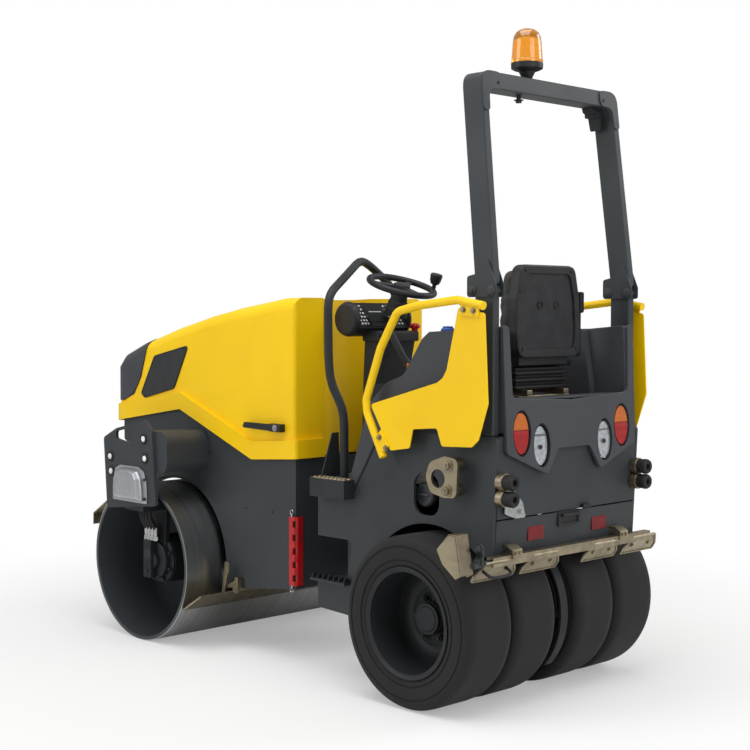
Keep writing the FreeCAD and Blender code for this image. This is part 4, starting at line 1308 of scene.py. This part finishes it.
@dataclass
class RearFace:
    """Cover behind the seat and the rear plates: lamps, buffers, reflectors, handle and bracket.

    Attributes:
        skin: Rear face of the cover before it leans.
        lean: Slope of the cover in degrees.
        foot: Height at which the slope turns.
    """

    skin: float = 1213.1
    lean: float = 2.5
    foot: float = 894.0

    def sloped(self, obj: Object) -> Object:
        """Leans a piece that was built upright to the cover's slope."""
        obj.matrix_world = about(self.lean, Axis.X, at(0, 1205.1, self.foot)) @ obj.matrix_world
        return settle(obj)

    def cover(self) -> Object:
        """Makes the moulded cover with its rolled edge, seat cut-out and lamp pockets."""
        shape = [(-402, 1461), (-398, 986), (-163, 894), (-98, 990), (98, 990), (163, 894), (398, 986),
                 (402, 1461), (366, 1455), (356, 1190), (0, 1172), (-356, 1190), (-366, 1455)]
        skin = plate(shape, Axis.Y, self.skin - 10, self.skin + 6, 0.0, 22.0)
        for sign in (1, -1):
            for x, z, w, h in ((309, 1057, 52, 87), (194, 1006, 50, 84)):
                hole = plate(oval(sign * x, z, w, h), Axis.Y, self.skin - 20, self.skin + 20)
                skin = cut(skin, hole)
        bevel(skin, 5.0, 3, 50.0)
        wing = plate([(1046, 1060), (1206, 1060), (1206, 1456), (1016, 1448), (1046, 1210)], Axis.X,
                     356, 394, 5.0, 14.0)
        ledge = block(at(-352, 1080, 1176), at(352, 1205, 1186), 3.0)
        return self.sloped(join(skin, wing, twin(wing), ledge))

    def pockets(self) -> Object:
        """Makes the black pockets that the lamps sit in."""
        made = []
        for x, z, w, h in ((309, 1057, 51.5, 86.5), (194, 1006, 49.5, 83.5)):
            bowl = plate(oval(x, z, w, h), Axis.Y, self.skin - 18, self.skin + 2)
            inner = plate(oval(x, z, w - 4, h - 4), Axis.Y, self.skin - 14, self.skin + 9)
            made.append(cut(bowl, inner))
        left = join(*made)
        return self.sloped(join(left, twin(left)))

    def half_lens(self, start: float, near: float = -13.0) -> Object:
        """Makes one half of both tail lamps."""
        shape = [(x, max(z, 1070.0) if start == 0.0 else min(z, 1068.0)) for x,
                 z in oval(310, 1057, 43, 77)]
        half = outward(plate(shape, Axis.Y, self.skin + near, self.skin + 1))
        return self.sloped(join(half, twin(half)))

    def white_lamps(self) -> Object:
        """Makes the clear lenses of the work lamps."""
        lens = plate(oval(197, 1006, 40, 73), Axis.Y, self.skin - 8, self.skin, 3.0)
        return self.sloped(join(lens, twin(lens)))

    def lamp_screws(self) -> Object:
        """Makes the dark middle screws of the work lamps."""
        screw = bar(at(197, self.skin - 3, 1000), at(197, self.skin + 2, 1000), 9.0, 20, 1.5)
        return self.sloped(join(screw, twin(screw)))

    def mirrors(self) -> Object:
        """Makes the bright dishes behind the clear lenses."""
        dish = plate(oval(197, 1006, 41, 74), Axis.Y, self.skin - 13.5, self.skin - 9, 1.0)
        return self.sloped(join(dish, twin(dish)))

    def buffers(self) -> Object:
        """Turns the four rubber buffers with the hole in their ends."""
        profile = [(1222, 0), (1222, 27), (1232, 29), (1240, 28), (1246, 30), (1260, 30), (1267, 26),
                   (1267, 13),
                   (1250, 11), (1250, 0)]
        made = [turned([(y, r) for y, r in profile], at(414, 0, z), Axis.Y, 40, whole=False)
                for z in (886, 825)]
        left = join(*made)
        return join(left, twin(left))

    def sleeves(self) -> Object:
        """Makes the zinc seats of the buffers."""
        made = [bar(at(414, 1193, z), at(414, 1226, z), 32.5, 40, 4.0) for z in (886, 825)]
        left = join(*made)
        return join(left, twin(left))

    def rear_sheet(self) -> Object:
        """Makes the two rear plates with their rounded meeting edges."""
        upper = plate([(1176, 744), (1188, 744), (1198, 1050), (1186, 1050)], Axis.X, -423.5, 423.5, 2.0)
        lower = plate([(1165, 603), (1177, 603), (1188, 739), (1176, 739)], Axis.X, -423.5, 423.5, 2.0)
        return join(upper, lower)

    def reflectors(self) -> Object:
        """Makes the two red reflectors of the lower plate."""
        left = block(at(150, 1176, 648), at(242, 1187, 700), 2.0)
        return join(left, twin(left))

    def handle(self) -> Object:
        """Makes the black pull handle at the plates' meeting edge, and the small plate lamp."""
        frame_part = block(at(-68, 1186, 684), at(68, 1194, 738), 3.0)
        hollow = block(at(-54, 1189, 694), at(54, 1200, 730), 2.0)
        pull = block(at(-52, 1190, 722), at(52, 1206, 734), 4.0)
        lamp = block(at(-122, 1186, 744), at(-72, 1206, 760), 4.0)
        return join(cut(frame_part, hollow), pull, lamp)

    def bracket(self) -> Object:
        """Makes the bright plate with two screws beside the left buffers."""
        sheet = plate([(272, 742), (330, 742), (392, 764), (392, 850), (340, 850), (290, 800)], Axis.Y,
                      1196, 1200,
                      1.0, 8.0)
        bolts = [hexagon(at(x, 1200, z), Vector((0, 1, 0)), 15.0, 8.0) for x, z in ((305, 766), (352, 826))]
        return join(sheet, *bolts)

    def hooks(self) -> Object:
        """Makes the bolts of the lugs' lifting eyes."""
        made = []
        for y, z in ((1018, 940), (1013, 843)):
            made.append(hexagon(at(506, y, z), Vector((1, 0, 0)), 30.0, 13.0))
            made.append(bar(at(506, y, z), at(526, y, z), 8.0, 24, 1.0))
        left = join(*made)
        return join(left, twin(left))

    def build(self) -> None:
        """Makes the rear's pieces."""
        rear = Body.REAR
        dress(self.cover(), "rear_moulding", Look.GREY_PLASTIC, rear, ["rear_cover"])
        dress(self.pockets(), "lamp_pockets", Look.BLACK_PLASTIC, rear)
        dress(self.half_lens(0.0), "indicator_lenses", Look.ORANGE_LENS, rear, ["tail_lamps"])
        dress(self.half_lens(180.0), "stop_lenses", Look.RED_LENS, rear)
        dress(self.white_lamps(), "work_lenses", Look.CLEAR_LENS, rear, ["work_lamps"])
        dress(self.mirrors(), "lamp_dishes", Look.DISH, rear)
        dress(self.lamp_screws(), "lamp_screws", Look.BLACK_PLASTIC, rear)
        dress(self.buffers(), "buffer_rubbers", Look.RUBBER, rear, ["rear_buffers"])
        dress(self.sleeves(), "buffer_sleeves", Look.ZINC, rear)
        dress(self.rear_sheet(), "rear_sheets", Look.FRAME, rear, ["rear_plate"])
        dress(self.reflectors(), "reflectors", Look.REFLECTOR, rear)
        dress(self.handle(), "pull_handle", Look.BLACK_PLASTIC, rear)
        dress(self.bracket(), "screw_plate", Look.BRIGHT, rear)
        dress(self.hooks(), "lug_bolts", Look.ZINC, rear)


@dataclass
class TyreScrapers:
    """Zinc bar behind the tyres with its clips, scraper plates, end guards and handle.

    Attributes:
        tyres: Inner and outer face of each tyre on one side.
    """

    tyres: tuple[tuple[float, float], ...] = ((66.0, 306.0), (323.0, 572.0))

    def beam(self) -> Object:
        """Makes the angle bar and its folded clips."""
        angle = plate([(1196, 608), (1222, 608), (1222, 580), (1228, 580), (1228, 616), (1196, 616)],
                      Axis.X, -488, 488, 1.5)
        clips = []
        for x in (357, -300):
            clips.append(plate([(1180, 612), (1230, 600), (1234, 604), (1234, 634), (1206, 650),
                                (1181, 650),
                                (1181, 640), (1204, 640), (1228, 630), (1228, 616), (1180, 620)], Axis.X,
                               x - 26, x + 26, 0.8))
            clips.append(hexagon(at(x - 12, 1234, 620), Vector((0, 1, 0)), 11.0, 5.0))
            clips.append(hexagon(at(x + 12, 1234, 620), Vector((0, 1, 0)), 11.0, 5.0))
        return join(angle, *clips)

    def blade(self, inner: float, outer: float) -> Object:
        """Makes one sloping scraper plate with cut corners and two bolts.

        Args:
            inner: Inner end of the plate.
            outer: Outer end of the plate.

        Returns:
            The plate.
        """
        x0, x1 = inner + 10, outer - 10
        shape = [(x0, 0), (x1, 0), (x1, 34), (x1 - 40, 88), (x0 + 40, 88), (x0, 34)]
        sheet = plate(shape, Axis.Y, 0.0, 6.0, 1.5, 9.0)
        rim = plate(shape, Axis.Y, 5.5, 9.0, 1.0, 9.0)
        middle = plate([(x0 + 7, 7), (x1 - 7, 7), (x1 - 7, 30), (x1 - 44, 80), (x0 + 44, 80), (x0 + 7, 30)],
                       Axis.Y, 4.0, 12.0, 0.0, 8.0)
        bolts = [hexagon(at(x, 6.0, 42), Vector((0, 1, 0)), 14.0, 6.0) for x in (x0 + 58, x1 - 58)]
        made = join(sheet, cut(rim, middle), *bolts)
        made.matrix_world = (Matrix.Translation(at(0, 1178, 532) - at(0, 0, 0))
                             @ about(-33.0, Axis.X, at(0, 0, 0)) @ made.matrix_world)
        return settle(made)

    def blades(self) -> Object:
        """Makes the plates of all four tyres."""
        left = join(*(self.blade(inner, outer) for inner, outer in self.tyres))
        return join(left, twin(left))

    def handle(self) -> Object:
        """Makes the bent handle on the left outer plate."""
        return pipe([at(520, 1196, 574), at(520, 1226, 560), at(512, 1246, 548), at(440, 1246, 548),
                     at(405, 1246, 552), at(398, 1226, 564), at(398, 1196, 576)], 6.0)

    def end_guard(self) -> Object:
        """Makes the folded guard beside the left outer tyre's shoulder."""
        side = [(1092, 650), (1150, 710), (1184, 710), (1212, 566), (1184, 552), (1120, 600)]
        outer = plate(side, Axis.X, 640, 644, 1.0, 5.0)
        rear = plate([(1180, 708), (1186, 710), (1214, 568), (1208, 564)], Axis.X, 580, 644, 0.8)
        roof = plate([(1148, 706), (1186, 706), (1186, 711), (1148, 711)], Axis.X, 580, 644, 0.8)
        inner = plate(side, Axis.X, 578, 582, 1.0, 5.0)
        bolt = hexagon(at(604, 1183, 690), Vector((0, 1, 0)), 14.0, 7.0)
        return join(outer, rear, roof, inner, bolt)

    def levers(self) -> Object:
        """Makes the clamp lever with its bolts between bar and end guard."""
        made = [plate([(1196, 600), (1226, 588), (1232, 640), (1214, 676), (1200, 668)], Axis.X, 540,
                      548, 1.5, 10.0)]
        made.append(block(at(486, 1200, 586), at(582, 1222, 606), 3.0))
        for y, z in ((1214, 656), (1212, 612)):
            made.append(hexagon(at(548, y, z), Vector((1, 0, 0)), 22.0, 14.0))
            made.append(bar(at(530, y, z), at(574, y, z), 7.0, 24, 1.0))
        return join(*made)

    def build(self) -> None:
        """Makes the scraper set."""
        dress(join(self.beam(), self.blades()), "scraper_set", Look.ZINC, Body.REAR,
              ["tyre_scrapers"])
        dress(self.end_guard(), "scraper_end_guard", Look.ZINC, Body.REAR)
        dress(self.levers(), "scraper_clamps", Look.IRON, Body.REAR)
        dress(self.handle(), "scraper_handle", Look.BLACK_COAT, Body.REAR)


@dataclass
class Seat:
    """Driver's seat: cushions, back shell, bellows, slides and belt.

    Attributes:
        swell: How far a point of a cushion may move when it is filled, in millimetres.
    """

    swell: float = 14.0

    def filled(self, pad: Object, pressure: float = 4.0) -> Object:
        """Fills a pad with air in a short cloth simulation.

        Args:
            pad: Closed mesh of the pad, a little smaller than the filled one.
            pressure: Pressure of the filling.

        Returns:
            The filled pad.
        """
        modify(pad, "REMESH", mode="VOXEL", voxel_size=7.0 * MM, adaptivity=0.0)
        before = [vertex.co.copy() for vertex in pad.data.vertices]
        cloth = pad.modifiers.new("Cloth", "CLOTH")
        cloth.settings.use_pressure = True
        cloth.settings.uniform_pressure_force = pressure
        cloth.settings.effector_weights.gravity = 0.0
        for number in range(1, 15):
            bpy.context.scene.frame_set(number)
        pick(pad)
        bpy.ops.object.modifier_apply(modifier=cloth.name)
        bpy.context.scene.frame_set(1)
        for vertex, place in zip(pad.data.vertices, before):
            step = vertex.co - place
            if step.length > self.swell * MM:
                vertex.co = place + step.normalized() * self.swell * MM
        return modify(pad, "SMOOTH", factor=0.5, iterations=3)

    def cushion(self) -> Object:
        """Makes the filled seat cushion."""
        pad = plate([(604, 1308), (1008, 1308), (1008, 1360), (608, 1388)], Axis.X, -212, 212, 14.0, 18.0)
        return self.filled(pad)

    def backrest(self) -> Object:
        """Makes the filled backrest cushion."""
        shape = [(-178, 1392), (178, 1392), (186, 1470), (180, 1560), (152, 1676), (-152, 1676),
                 (-180, 1560),
                 (-186, 1470)]
        pad = plate(shape, Axis.Y, 976, 1030, 14.0, 46.0)
        return self.filled(pad)

    def shell(self) -> Object:
        """Makes the moulded shell behind the backrest with its panel, bosses and screws."""
        shape = [(-190, 1332), (190, 1332), (198, 1430), (194, 1560), (165, 1691), (-165, 1691),
                 (-194, 1560),
                 (-198, 1430)]
        shell = plate(shape, Axis.Y, 1034, 1086, 9.0, 46.0)
        panel = plate([(x * 0.8, 1510 + (z - 1510) * 0.82) for x, z in shape], Axis.Y, 1080, 1110, 0.0,
                      34.0)
        shell = cut(shell, panel)
        for x in (50, -50):
            shell = join(shell,
                         turned([(1078, 0), (1078, 17), (1084, 16), (1084, 12), (1081, 11), (1081, 0)],
                                       at(x, 0, 1535), Axis.Y, 32, whole=False))
        for x, z in ((164, 1366), (-164, 1366), (172, 1590), (-172, 1590), (140, 1668), (-140, 1668)):
            shell = join(shell, bar(at(x, 1084, z), at(x, 1089, z), 7.0, 6, 1.0))
        for vertex in shell.data.vertices:
            vertex.co.y += 9.0 * MM * max(0.0, (1500.0 - vertex.co.z / MM) / 170.0)
        return shell

    def pan(self) -> Object:
        """Makes the moulded pan under the cushion with its lever."""
        pan = plate([(598, 1293), (1024, 1293), (1026, 1318), (598, 1322)], Axis.X, -222, 222, 6.0, 8.0)
        hinge = block(at(-150, 1010, 1300), at(150, 1060, 1352), 8.0)
        lever = pipe([at(215, 700, 1300), at(236, 690, 1300), at(240, 640, 1304)], 7.0)
        return join(pan, hinge, lever)

    def bellows(self) -> Object:
        """Makes the rubber bellows of the suspension."""
        folds = [block(at(-158 + dent, 696 + dent, z), at(158 - dent, 1052 - dent, z + 14), 5.0)
                 for z, dent in zip(range(1208, 1292, 14), (0, 12, 0, 12, 0, 12))]
        return join(*folds)

    def slides(self) -> Object:
        """Makes the zinc cross rails and slides."""
        rails = [block(at(-156, y, 1160.3), at(156, y + 28, 1185), 3.0) for y in (720, 1040)]
        rails.append(block(at(-148, 1070, 1160.3), at(196, 1090, 1180), 2.0))
        slides = [block(at(x - 16, 700, 1186.5), at(x + 16, 1085, 1207), 4.0) for x in (-112, 112)]
        return join(*rails), join(*slides)

    def belt(self) -> Object:
        """Makes the belt's buckle on its stalk."""
        stalk = block(at(-246, 1020, 1330), at(-238, 1052, 1510), 2.0)
        buckle = block(at(-256, 1012, 1505), at(-230, 1062, 1590), 7.0)
        return join(stalk, buckle)

    def build(self) -> None:
        """Makes the seat."""
        seat = dress(self.cushion(), "seat_pad", Look.VINYL, Body.SEAT, ["seat_cushion"],
                     60.0)
        back = dress(self.backrest(), "back_pad", Look.VINYL, Body.SEAT, ["seat_back"], 60.0)
        dress(self.shell(), "back_shell", Look.BLACK_PLASTIC, Body.SEAT)
        dress(self.pan(), "seat_pan", Look.BLACK_PLASTIC, Body.SEAT)
        dress(self.bellows(), "bellows", Look.RUBBER, Body.SEAT, ["seat_base"])
        rails, slides = self.slides()
        dress(rails, "slide_rails", Look.ZINC, Body.REAR, ["seat_rails"])
        dress(slides, "slide_runners", Look.ZINC, Body.SEAT)
        dress(self.belt(), "seat_belt", Look.BLACK_PLASTIC, Body.SEAT)


@dataclass
class Dash:
    """Steering wheel, instrument pod, grab rail and controls in front of the driver.

    Attributes:
        wheel: Middle of the steering wheel.
        rim: Radius of the rim's middle line.
        grip: Radius of the rim's section.
        tilt: Slope of the wheel in degrees.
    """

    wheel: tuple[float, float, float] = (0.0, 276.0, 1620.0)
    rim: float = 142.0
    grip: float = 14.0
    tilt: float = 18.0

    def tilted(self, obj: Object) -> Object:
        """Leans a flat piece to the steering wheel's slope."""
        obj.matrix_world = about(-self.tilt, Axis.X, at(*self.wheel)) @ obj.matrix_world
        return settle(obj)

    def steering_wheel(self) -> Object:
        """Makes rim, spokes, hub cap and the spinner knob."""
        x, y, z = self.wheel
        deselect()
        bpy.ops.mesh.primitive_torus_add(location=at(x, y, z), major_radius=self.rim * MM,
                                         minor_radius=self.grip * MM,
                                         major_segments=96, minor_segments=20)
        parts = [settle(bpy.context.active_object)]
        for angle in (90, 210, 330):
            spoke = plate([(x + 22, y - 20), (x + self.rim, y - 13), (x + self.rim, y + 13),
                           (x + 22, y + 20)], Axis.Z,
                          z - 9, z + 1, 3.0)
            spoke.matrix_world = about(angle, Axis.Z, at(x, y, z)) @ spoke.matrix_world
            parts.append(settle(spoke))
        parts.append(turned([(-24, 0), (-24, 30), (-4, 38), (6, 36), (12, 24), (13, 0)], at(x, y, z),
                            Axis.Z, 48,
                            whole=False))
        knob_x, knob_y = x - self.rim * math.sin(math.radians(60)), y + self.rim * math.cos(math.radians(60))
        parts.append(turned([(8, 0), (8, 9), (30, 9), (34, 18), (48, 24), (70, 27), (78, 24), (80, 0)],
                            at(knob_x, knob_y, z), Axis.Z, 40, whole=False))
        return self.tilted(join(*parts))

    def boot(self) -> Object:
        """Makes the rubber cone around the steering shaft."""
        profile = [(-130, 52), (-100, 50), (-96, 46), (-70, 42), (-66, 38), (-40, 34), (-30, 28),
                   (-30, 0), (-130, 0)]
        x, y, z = self.wheel
        return self.tilted(turned(profile[::-1], at(x, y, z), Axis.Z, 48, whole=False))

    def pod(self) -> Object:
        """Makes the round instrument pod with its ribbed end caps."""
        body = turned([(-120, 0), (-120, 62), (-112, 70), (-104, 72), (-100, 75), (205, 75), (209, 72),
                       (217, 70),
                       (225, 62), (226, 0)], at(0, 156, 1478), Axis.X, 64, whole=False)
        flat = self.on_panel(block(at(-96, 40, 1504), at(200, 280, 1620)))
        return bevel(cut(body, flat), 2.0, 2, 40.0)

    def on_panel(self, obj: Object) -> Object:
        """Leans a piece built on the level z = 1504 to the instrument panel's slope."""
        obj.matrix_world = about(-50.0, Axis.X, at(0, 156, 1478)) @ obj.matrix_world
        return settle(obj)

    def panel(self) -> Object:
        """Makes the dark display plate with its bezel."""
        sheet = block(at(-90, 92, 1503), at(194, 220, 1508), 3.0)
        screen = block(at(10, 120, 1507), at(112, 196, 1511), 2.0)
        return self.on_panel(join(sheet, screen))

    def marks(self) -> Object:
        """Makes the white marks and tell-tales of the panel."""
        spots = [(x, y) for x in (-70, -50, -30, -10, 134, 152, 170)
                 for y in (108, 128, 148, 168, 188, 206)]
        marks = [block(at(x - 5, y - 4, 1507.6), at(x + 5, y + 4, 1509), 0.5) for x, y in spots]
        needle = block(at(24, 140, 1510.6), at(98, 145, 1512), 0.5)
        return self.on_panel(join(needle, *marks))

    def rail(self) -> Object:
        """Bends the grab rail."""
        path = [(398, 340, 829.4), (398, 340, 960), (398, 340, 1062), (402, 328, 1126),
                (420, 286, 1210), (424, 274, 1290),
                (424, 271, 1440), (424, 270, 1545), (394, 257, 1592), (300, 218, 1639), (200, 176, 1691),
                (130, 146, 1727), (70, 126, 1724), (-60, 95, 1663), (-146, 74, 1614), (-165, 74, 1574),
                (-165, 112, 1514)]
        return pipe([at(*point) for point in path], 18.0, 5)

    def column(self) -> Object:
        """Makes the waisted steering column cover."""
        shape = [(150, 829.3), (150, 1105), (165, 1395), (255, 1425), (228, 1310), (216, 1200),
                 (235, 1100), (290, 829.3)]
        cover = plate(shape, Axis.X, -118, 118, 9.0, 14.0)
        collar = block(at(-126, 158, 1380), at(126, 262, 1428), 10.0)
        return join(cover, collar)

    def mushroom(self) -> Object:
        """Makes the red stop button on its collar."""
        return turned([(0, 0), (0, 14), (12, 14), (14, 22), (24, 24), (32, 20), (36, 10), (37, 0)],
                      at(-108, 250, 1424), Axis.Z, 40, whole=False)

    def levers(self) -> Object:
        """Makes the control levers on the right-hand console and beside the column."""
        stick = pipe([at(-378, 760, 1380), at(-378, 752, 1450), at(-378, 742, 1500)], 9.0)
        grip = turned([(0, 0), (0, 16), (20, 22), (70, 24), (96, 20), (104, 8), (105, 0)],
                      at(-378, 742, 1490), Axis.Z,
                      40, whole=False)
        plinth = block(at(-414, 700, 1330), at(-342, 830, 1392), 9.0)
        stalk = pipe([at(100, 200, 1450), at(150, 230, 1470), at(196, 262, 1490)], 6.0)
        return join(stick, grip, plinth, stalk)

    def strut(self) -> tuple[Object, Object, Object]:
        """Makes the gas strut: dark barrel, coppered rod and its brackets."""
        barrel = join(bar(at(90, 300, 1414), at(60, 355, 1300), 17.0, 32, 2.0),
                      bar(at(62, 351, 1308), at(57, 360, 1290), 20.0, 32, 2.0))
        rod = bar(at(60, 355, 1302), at(38, 396, 1216), 7.0, 24)
        foot = block(at(20, 380, 829.3), at(56, 412, 1222), 5.0)
        head = block(at(80, 236, 1388), at(100, 306, 1420), 4.0)
        return barrel, rod, join(foot, head)

    def build(self) -> None:
        """Makes the driver's controls."""
        rear = Body.REAR
        dress(self.steering_wheel(), "steering_rim", Look.BLACK_PLASTIC, Body.STEERING_WHEEL,
              ["steering_wheel"])
        dress(self.boot(), "shaft_boot", Look.RUBBER, rear)
        dress(self.column(), "column_cover", Look.BLACK_COAT, rear, ["steering_column"])
        dress(self.pod(), "pod", Look.BLACK_PLASTIC, rear, ["instrument_pod"])
        dress(self.panel(), "display", Look.BLACK_COAT, rear)
        dress(self.marks(), "display_marks", Look.WHITE, rear)
        dress(self.rail(), "bent_rail", Look.BLACK_COAT, rear, ["grab_rail"])
        dress(self.mushroom(), "stop_button", Look.RED, rear)
        dress(self.levers(), "control_levers", Look.BLACK_PLASTIC, rear)
        barrel, rod, foot = self.strut()
        dress(barrel, "strut_barrel", Look.BLACK_COAT, rear, ["gas_strut"])
        dress(rod, "strut_rod", Look.COPPER, rear)
        dress(foot, "strut_brackets", Look.BLACK_COAT, rear)


@dataclass
class SideFittings:
    """Steps, console trim, filler cap, guard bolts and lock clips on the machine's sides."""

    def step_tread(self) -> Object:
        """Makes the perforated tread with its raised rims."""
        tread = block(at(437, 237, 829.2), at(493, 440, 832), 1.0)
        holes = [turned([(832, 7), (832, 10), (836, 8.5), (836, 7)], at(x, y, 0), Axis.Z, 16)
                 for x in (450, 480) for y in range(256, 430, 24)]
        small = [turned([(832, 4), (832, 6.5), (834.5, 5.5), (834.5, 4)], at(465, y, 0), Axis.Z, 12)
                 for y in range(268, 430, 24)]
        left = join(tread, *holes, *small)
        return join(left, twin(left))

    def toe_teeth(self) -> Object:
        """Makes the toothed edge of the lower foothold."""
        base = block(at(437, 219, 410), at(477, 424, 413), 1.0)
        teeth = [plate([(440, 412), (476, 412), (470, 430), (446, 430)], Axis.Y, y, y + 5, 0.6)
                 for y in range(224, 420, 32)]
        left = join(base, *teeth)
        return join(left, twin(left))

    def console_skin(self) -> Object:
        """Makes the strip that carries the console's edge down behind the step."""
        strip = plate([(414, 838), (398, 806), (372, 792), (372, 776), (404, 776), (428, 796),
                       (470, 838)], Axis.X, 430.5,
                      439, 1.0, 9.0)
        return join(strip, twin(strip))

    def trim(self) -> Object:
        """Makes the black seal under the console's lower edge."""
        path = [(370, 771), (404, 770), (430, 790), (470, 836), (556, 978), (600, 1040), (622, 1051),
                (700, 1051),
                (900, 1051), (1036, 1051)]
        seal = pipe([at(436, y, z) for y, z in path], 5.0)
        return join(seal, twin(seal))

    def caps(self) -> Object:
        """Turns the blue cap on the left console."""
        profile = [(0, 0), (0, 27), (14, 27), (17, 24), (19, 20), (25, 19), (26, 0)]
        return turned(profile, at(380, 900, 1428), Axis.Z, 40, whole=False)

    def filler(self) -> Object:
        """Makes the slotted fuel cap behind the oval window, on its neck."""
        neck = bar(at(228, 797, 801), at(372, 797, 801), 30.0, 40)
        cap = turned([(368, 0), (368, 44), (376, 48), (398, 48), (404, 42), (404, 30), (398, 28), (398, 0)],
                     at(0, 797, 801), Axis.X, 48, whole=False)
        slot = block(at(396, 766, 797), at(409, 828, 806), 3.0)
        return join(neck, cap, slot)

    def guard_bolts(self) -> Object:
        """Makes the bolts of the yellow guards."""
        spots = ((649, 1020), (684, 980), (1087, 1516), (1136, 1512))
        made = [hexagon(at(499, y, z), Vector((1, 0, 0)), 14.0, 8.0) for y, z in spots]
        left = join(*made)
        return join(left, twin(left))

    def guards(self) -> Object:
        """Makes the yellow guard plates with their rounded rims."""
        shape = [(1185, 1503), (1055, 1525), (998, 1294), (978, 1262), (948, 1243), (591, 1146),
                 (702, 971), (805, 987),
                 (823, 1061), (948, 1072), (974, 1005), (1124, 1012), (1156, 1039), (1202, 1174)]
        left = plate(shape, Axis.X, 486.5, 493, 2.0, 14.0)
        return join(left, twin(left))

    def guard_posts(self) -> Object:
        """Makes the dark spacers between side panel and guard."""
        left = join(*(bar(at(436, y, z), at(487, y, z), 13.0, 32) for y,
                      z in ((735, 1006), (1010, 1028), (1100, 1034))))
        return join(left, twin(left))

    def drum_shade_sheet(self) -> Object:
        """Makes dark sheets that close the panels down to the drum: painted shade, put where the gap above
        the drum is dark.
        """
        arc = [(-823 + 369 * math.cos(math.radians(a)), 360 + 369 * math.sin(math.radians(a)))
               for a in range(28, 153, 4)]
        left = plate(arc + [(-1150, 800), (-497, 800)], Axis.X, 376, 383)
        return join(left, twin(left))

    def grille_frames(self) -> Object:
        """Makes the raised rims round the hood's side grilles."""
        shape = [(-981, 1301), (-712, 1356), (-826, 1150), (-1060, 1097), (-1091, 1118)]
        middle = (-920.0, 1215.0)
        inside = [(y + (middle[0] - y) * 0.05, z + (middle[1] - z) * 0.05) for y, z in shape]
        rim = plate(shape, Axis.X, 397.5, 403, 0.0, 24.0)
        left = bevel(cut(rim, plate(inside, Axis.X, 390, 410, 0.0, 22.0)), 1.2, 2, 40.0)
        return join(left, twin(left))

    def hood_seams(self) -> Object:
        """Makes the fine dark joint between the hood and its nose panel, seen from the side."""
        path = [(-1240, 1078), (-1151, 1112), (-1090, 1200), (-1040, 1345)]
        seam = pipe([at(400.5, y, z) for y, z in path], 1.6, 2)
        return join(seam, twin(seam))

    def latch_bolts(self) -> Object:
        """Makes the bright lock bolts of the hood latches."""
        left = join(bar(at(430, -62, 1011), at(433, -62, 1011), 14.0, 32, 1.0),
                    hexagon(at(432, -62, 1011), Vector((1, 0, 0)), 12.0, 5.0))
        return join(left, twin(left))

    def lock_clips(self) -> Object:
        """Makes the spring clips and pin heads of the articulation lock."""
        made = []
        for z, way in ((638, 1), (336, -1)):
            made.append(bar(at(401, 16, z - 10 * way), at(401, 16, z + 10 * way), 5.0, 24, 1.0))
            deselect()
            bpy.ops.mesh.primitive_torus_add(location=at(401, 14, z + 16 * way),
                                             rotation=(0, math.pi / 2, 0),
                                             major_radius=9 * MM, minor_radius=2 * MM, major_segments=32,
                                             minor_segments=8)
            made.append(settle(bpy.context.active_object))
        return join(*made)

    def panel_screws(self) -> Object:
        """Makes the small screws of the front side panels."""
        made = [bar(at(395.5, y, z), at(399, y, z), 5.0, 12, 0.6) for y,
                z in ((-560, 870), (-300, 640), (-120, 640))]
        left = join(*made)
        return join(left, twin(left))

    def build(self) -> None:
        """Makes the fittings of both sides."""
        rear = Body.REAR
        dress(self.step_tread(), "step_treads", Look.ZINC, rear)
        dress(self.toe_teeth(), "toe_teeth", Look.BLACK_COAT, rear)
        dress(self.console_skin(), "console_strips", Look.GREY_PLASTIC, rear)
        dress(self.trim(), "console_seals", Look.RUBBER, rear)
        dress(self.caps(), "blue_cap", Look.BLUE, rear)
        dress(self.filler(), "fuel_cap", Look.GREY_PLASTIC, rear)
        dress(self.guard_bolts(), "guard_bolts", Look.ZINC, rear)
        dress(self.lock_clips(), "lock_clips", Look.BRIGHT, Body.FRONT)
        dress(self.guards(), "guard_plates", Look.YELLOW, rear, ["side_guards"])
        dress(self.guard_posts(), "guard_spacers", Look.FRAME, rear)
        # Black sheets over the drum: painted shade inside the frame.
        dress(self.drum_shade_sheet(), "drum_liners", Look.BLACK_COAT, Body.FRONT)
        dress(self.grille_frames(), "grille_frames", Look.BLACK_PLASTIC, Body.HOOD)
        dress(self.hood_seams(), "nose_seams", Look.RUBBER, Body.HOOD)
        dress(self.latch_bolts(), "latch_bolts", Look.BRIGHT, Body.HOOD)
        dress(self.panel_screws(), "panel_screws", Look.BLACK_COAT, Body.FRONT)


def main() -> None:
    """Builds the machine's looks in order."""
    logging.basicConfig(level=logging.INFO, format="%(name)s: %(message)s")
    Studio().build()
    SolidParts().build()
    Wheels().build()
    DrumCarrier().build()
    DrumScraper().build()
    RollBar().build()
    RearFace().build()
    TyreScrapers().build()
    Seat().build()
    Dash().build()
    SideFittings().build()


if __name__ == "__main__":
    main()
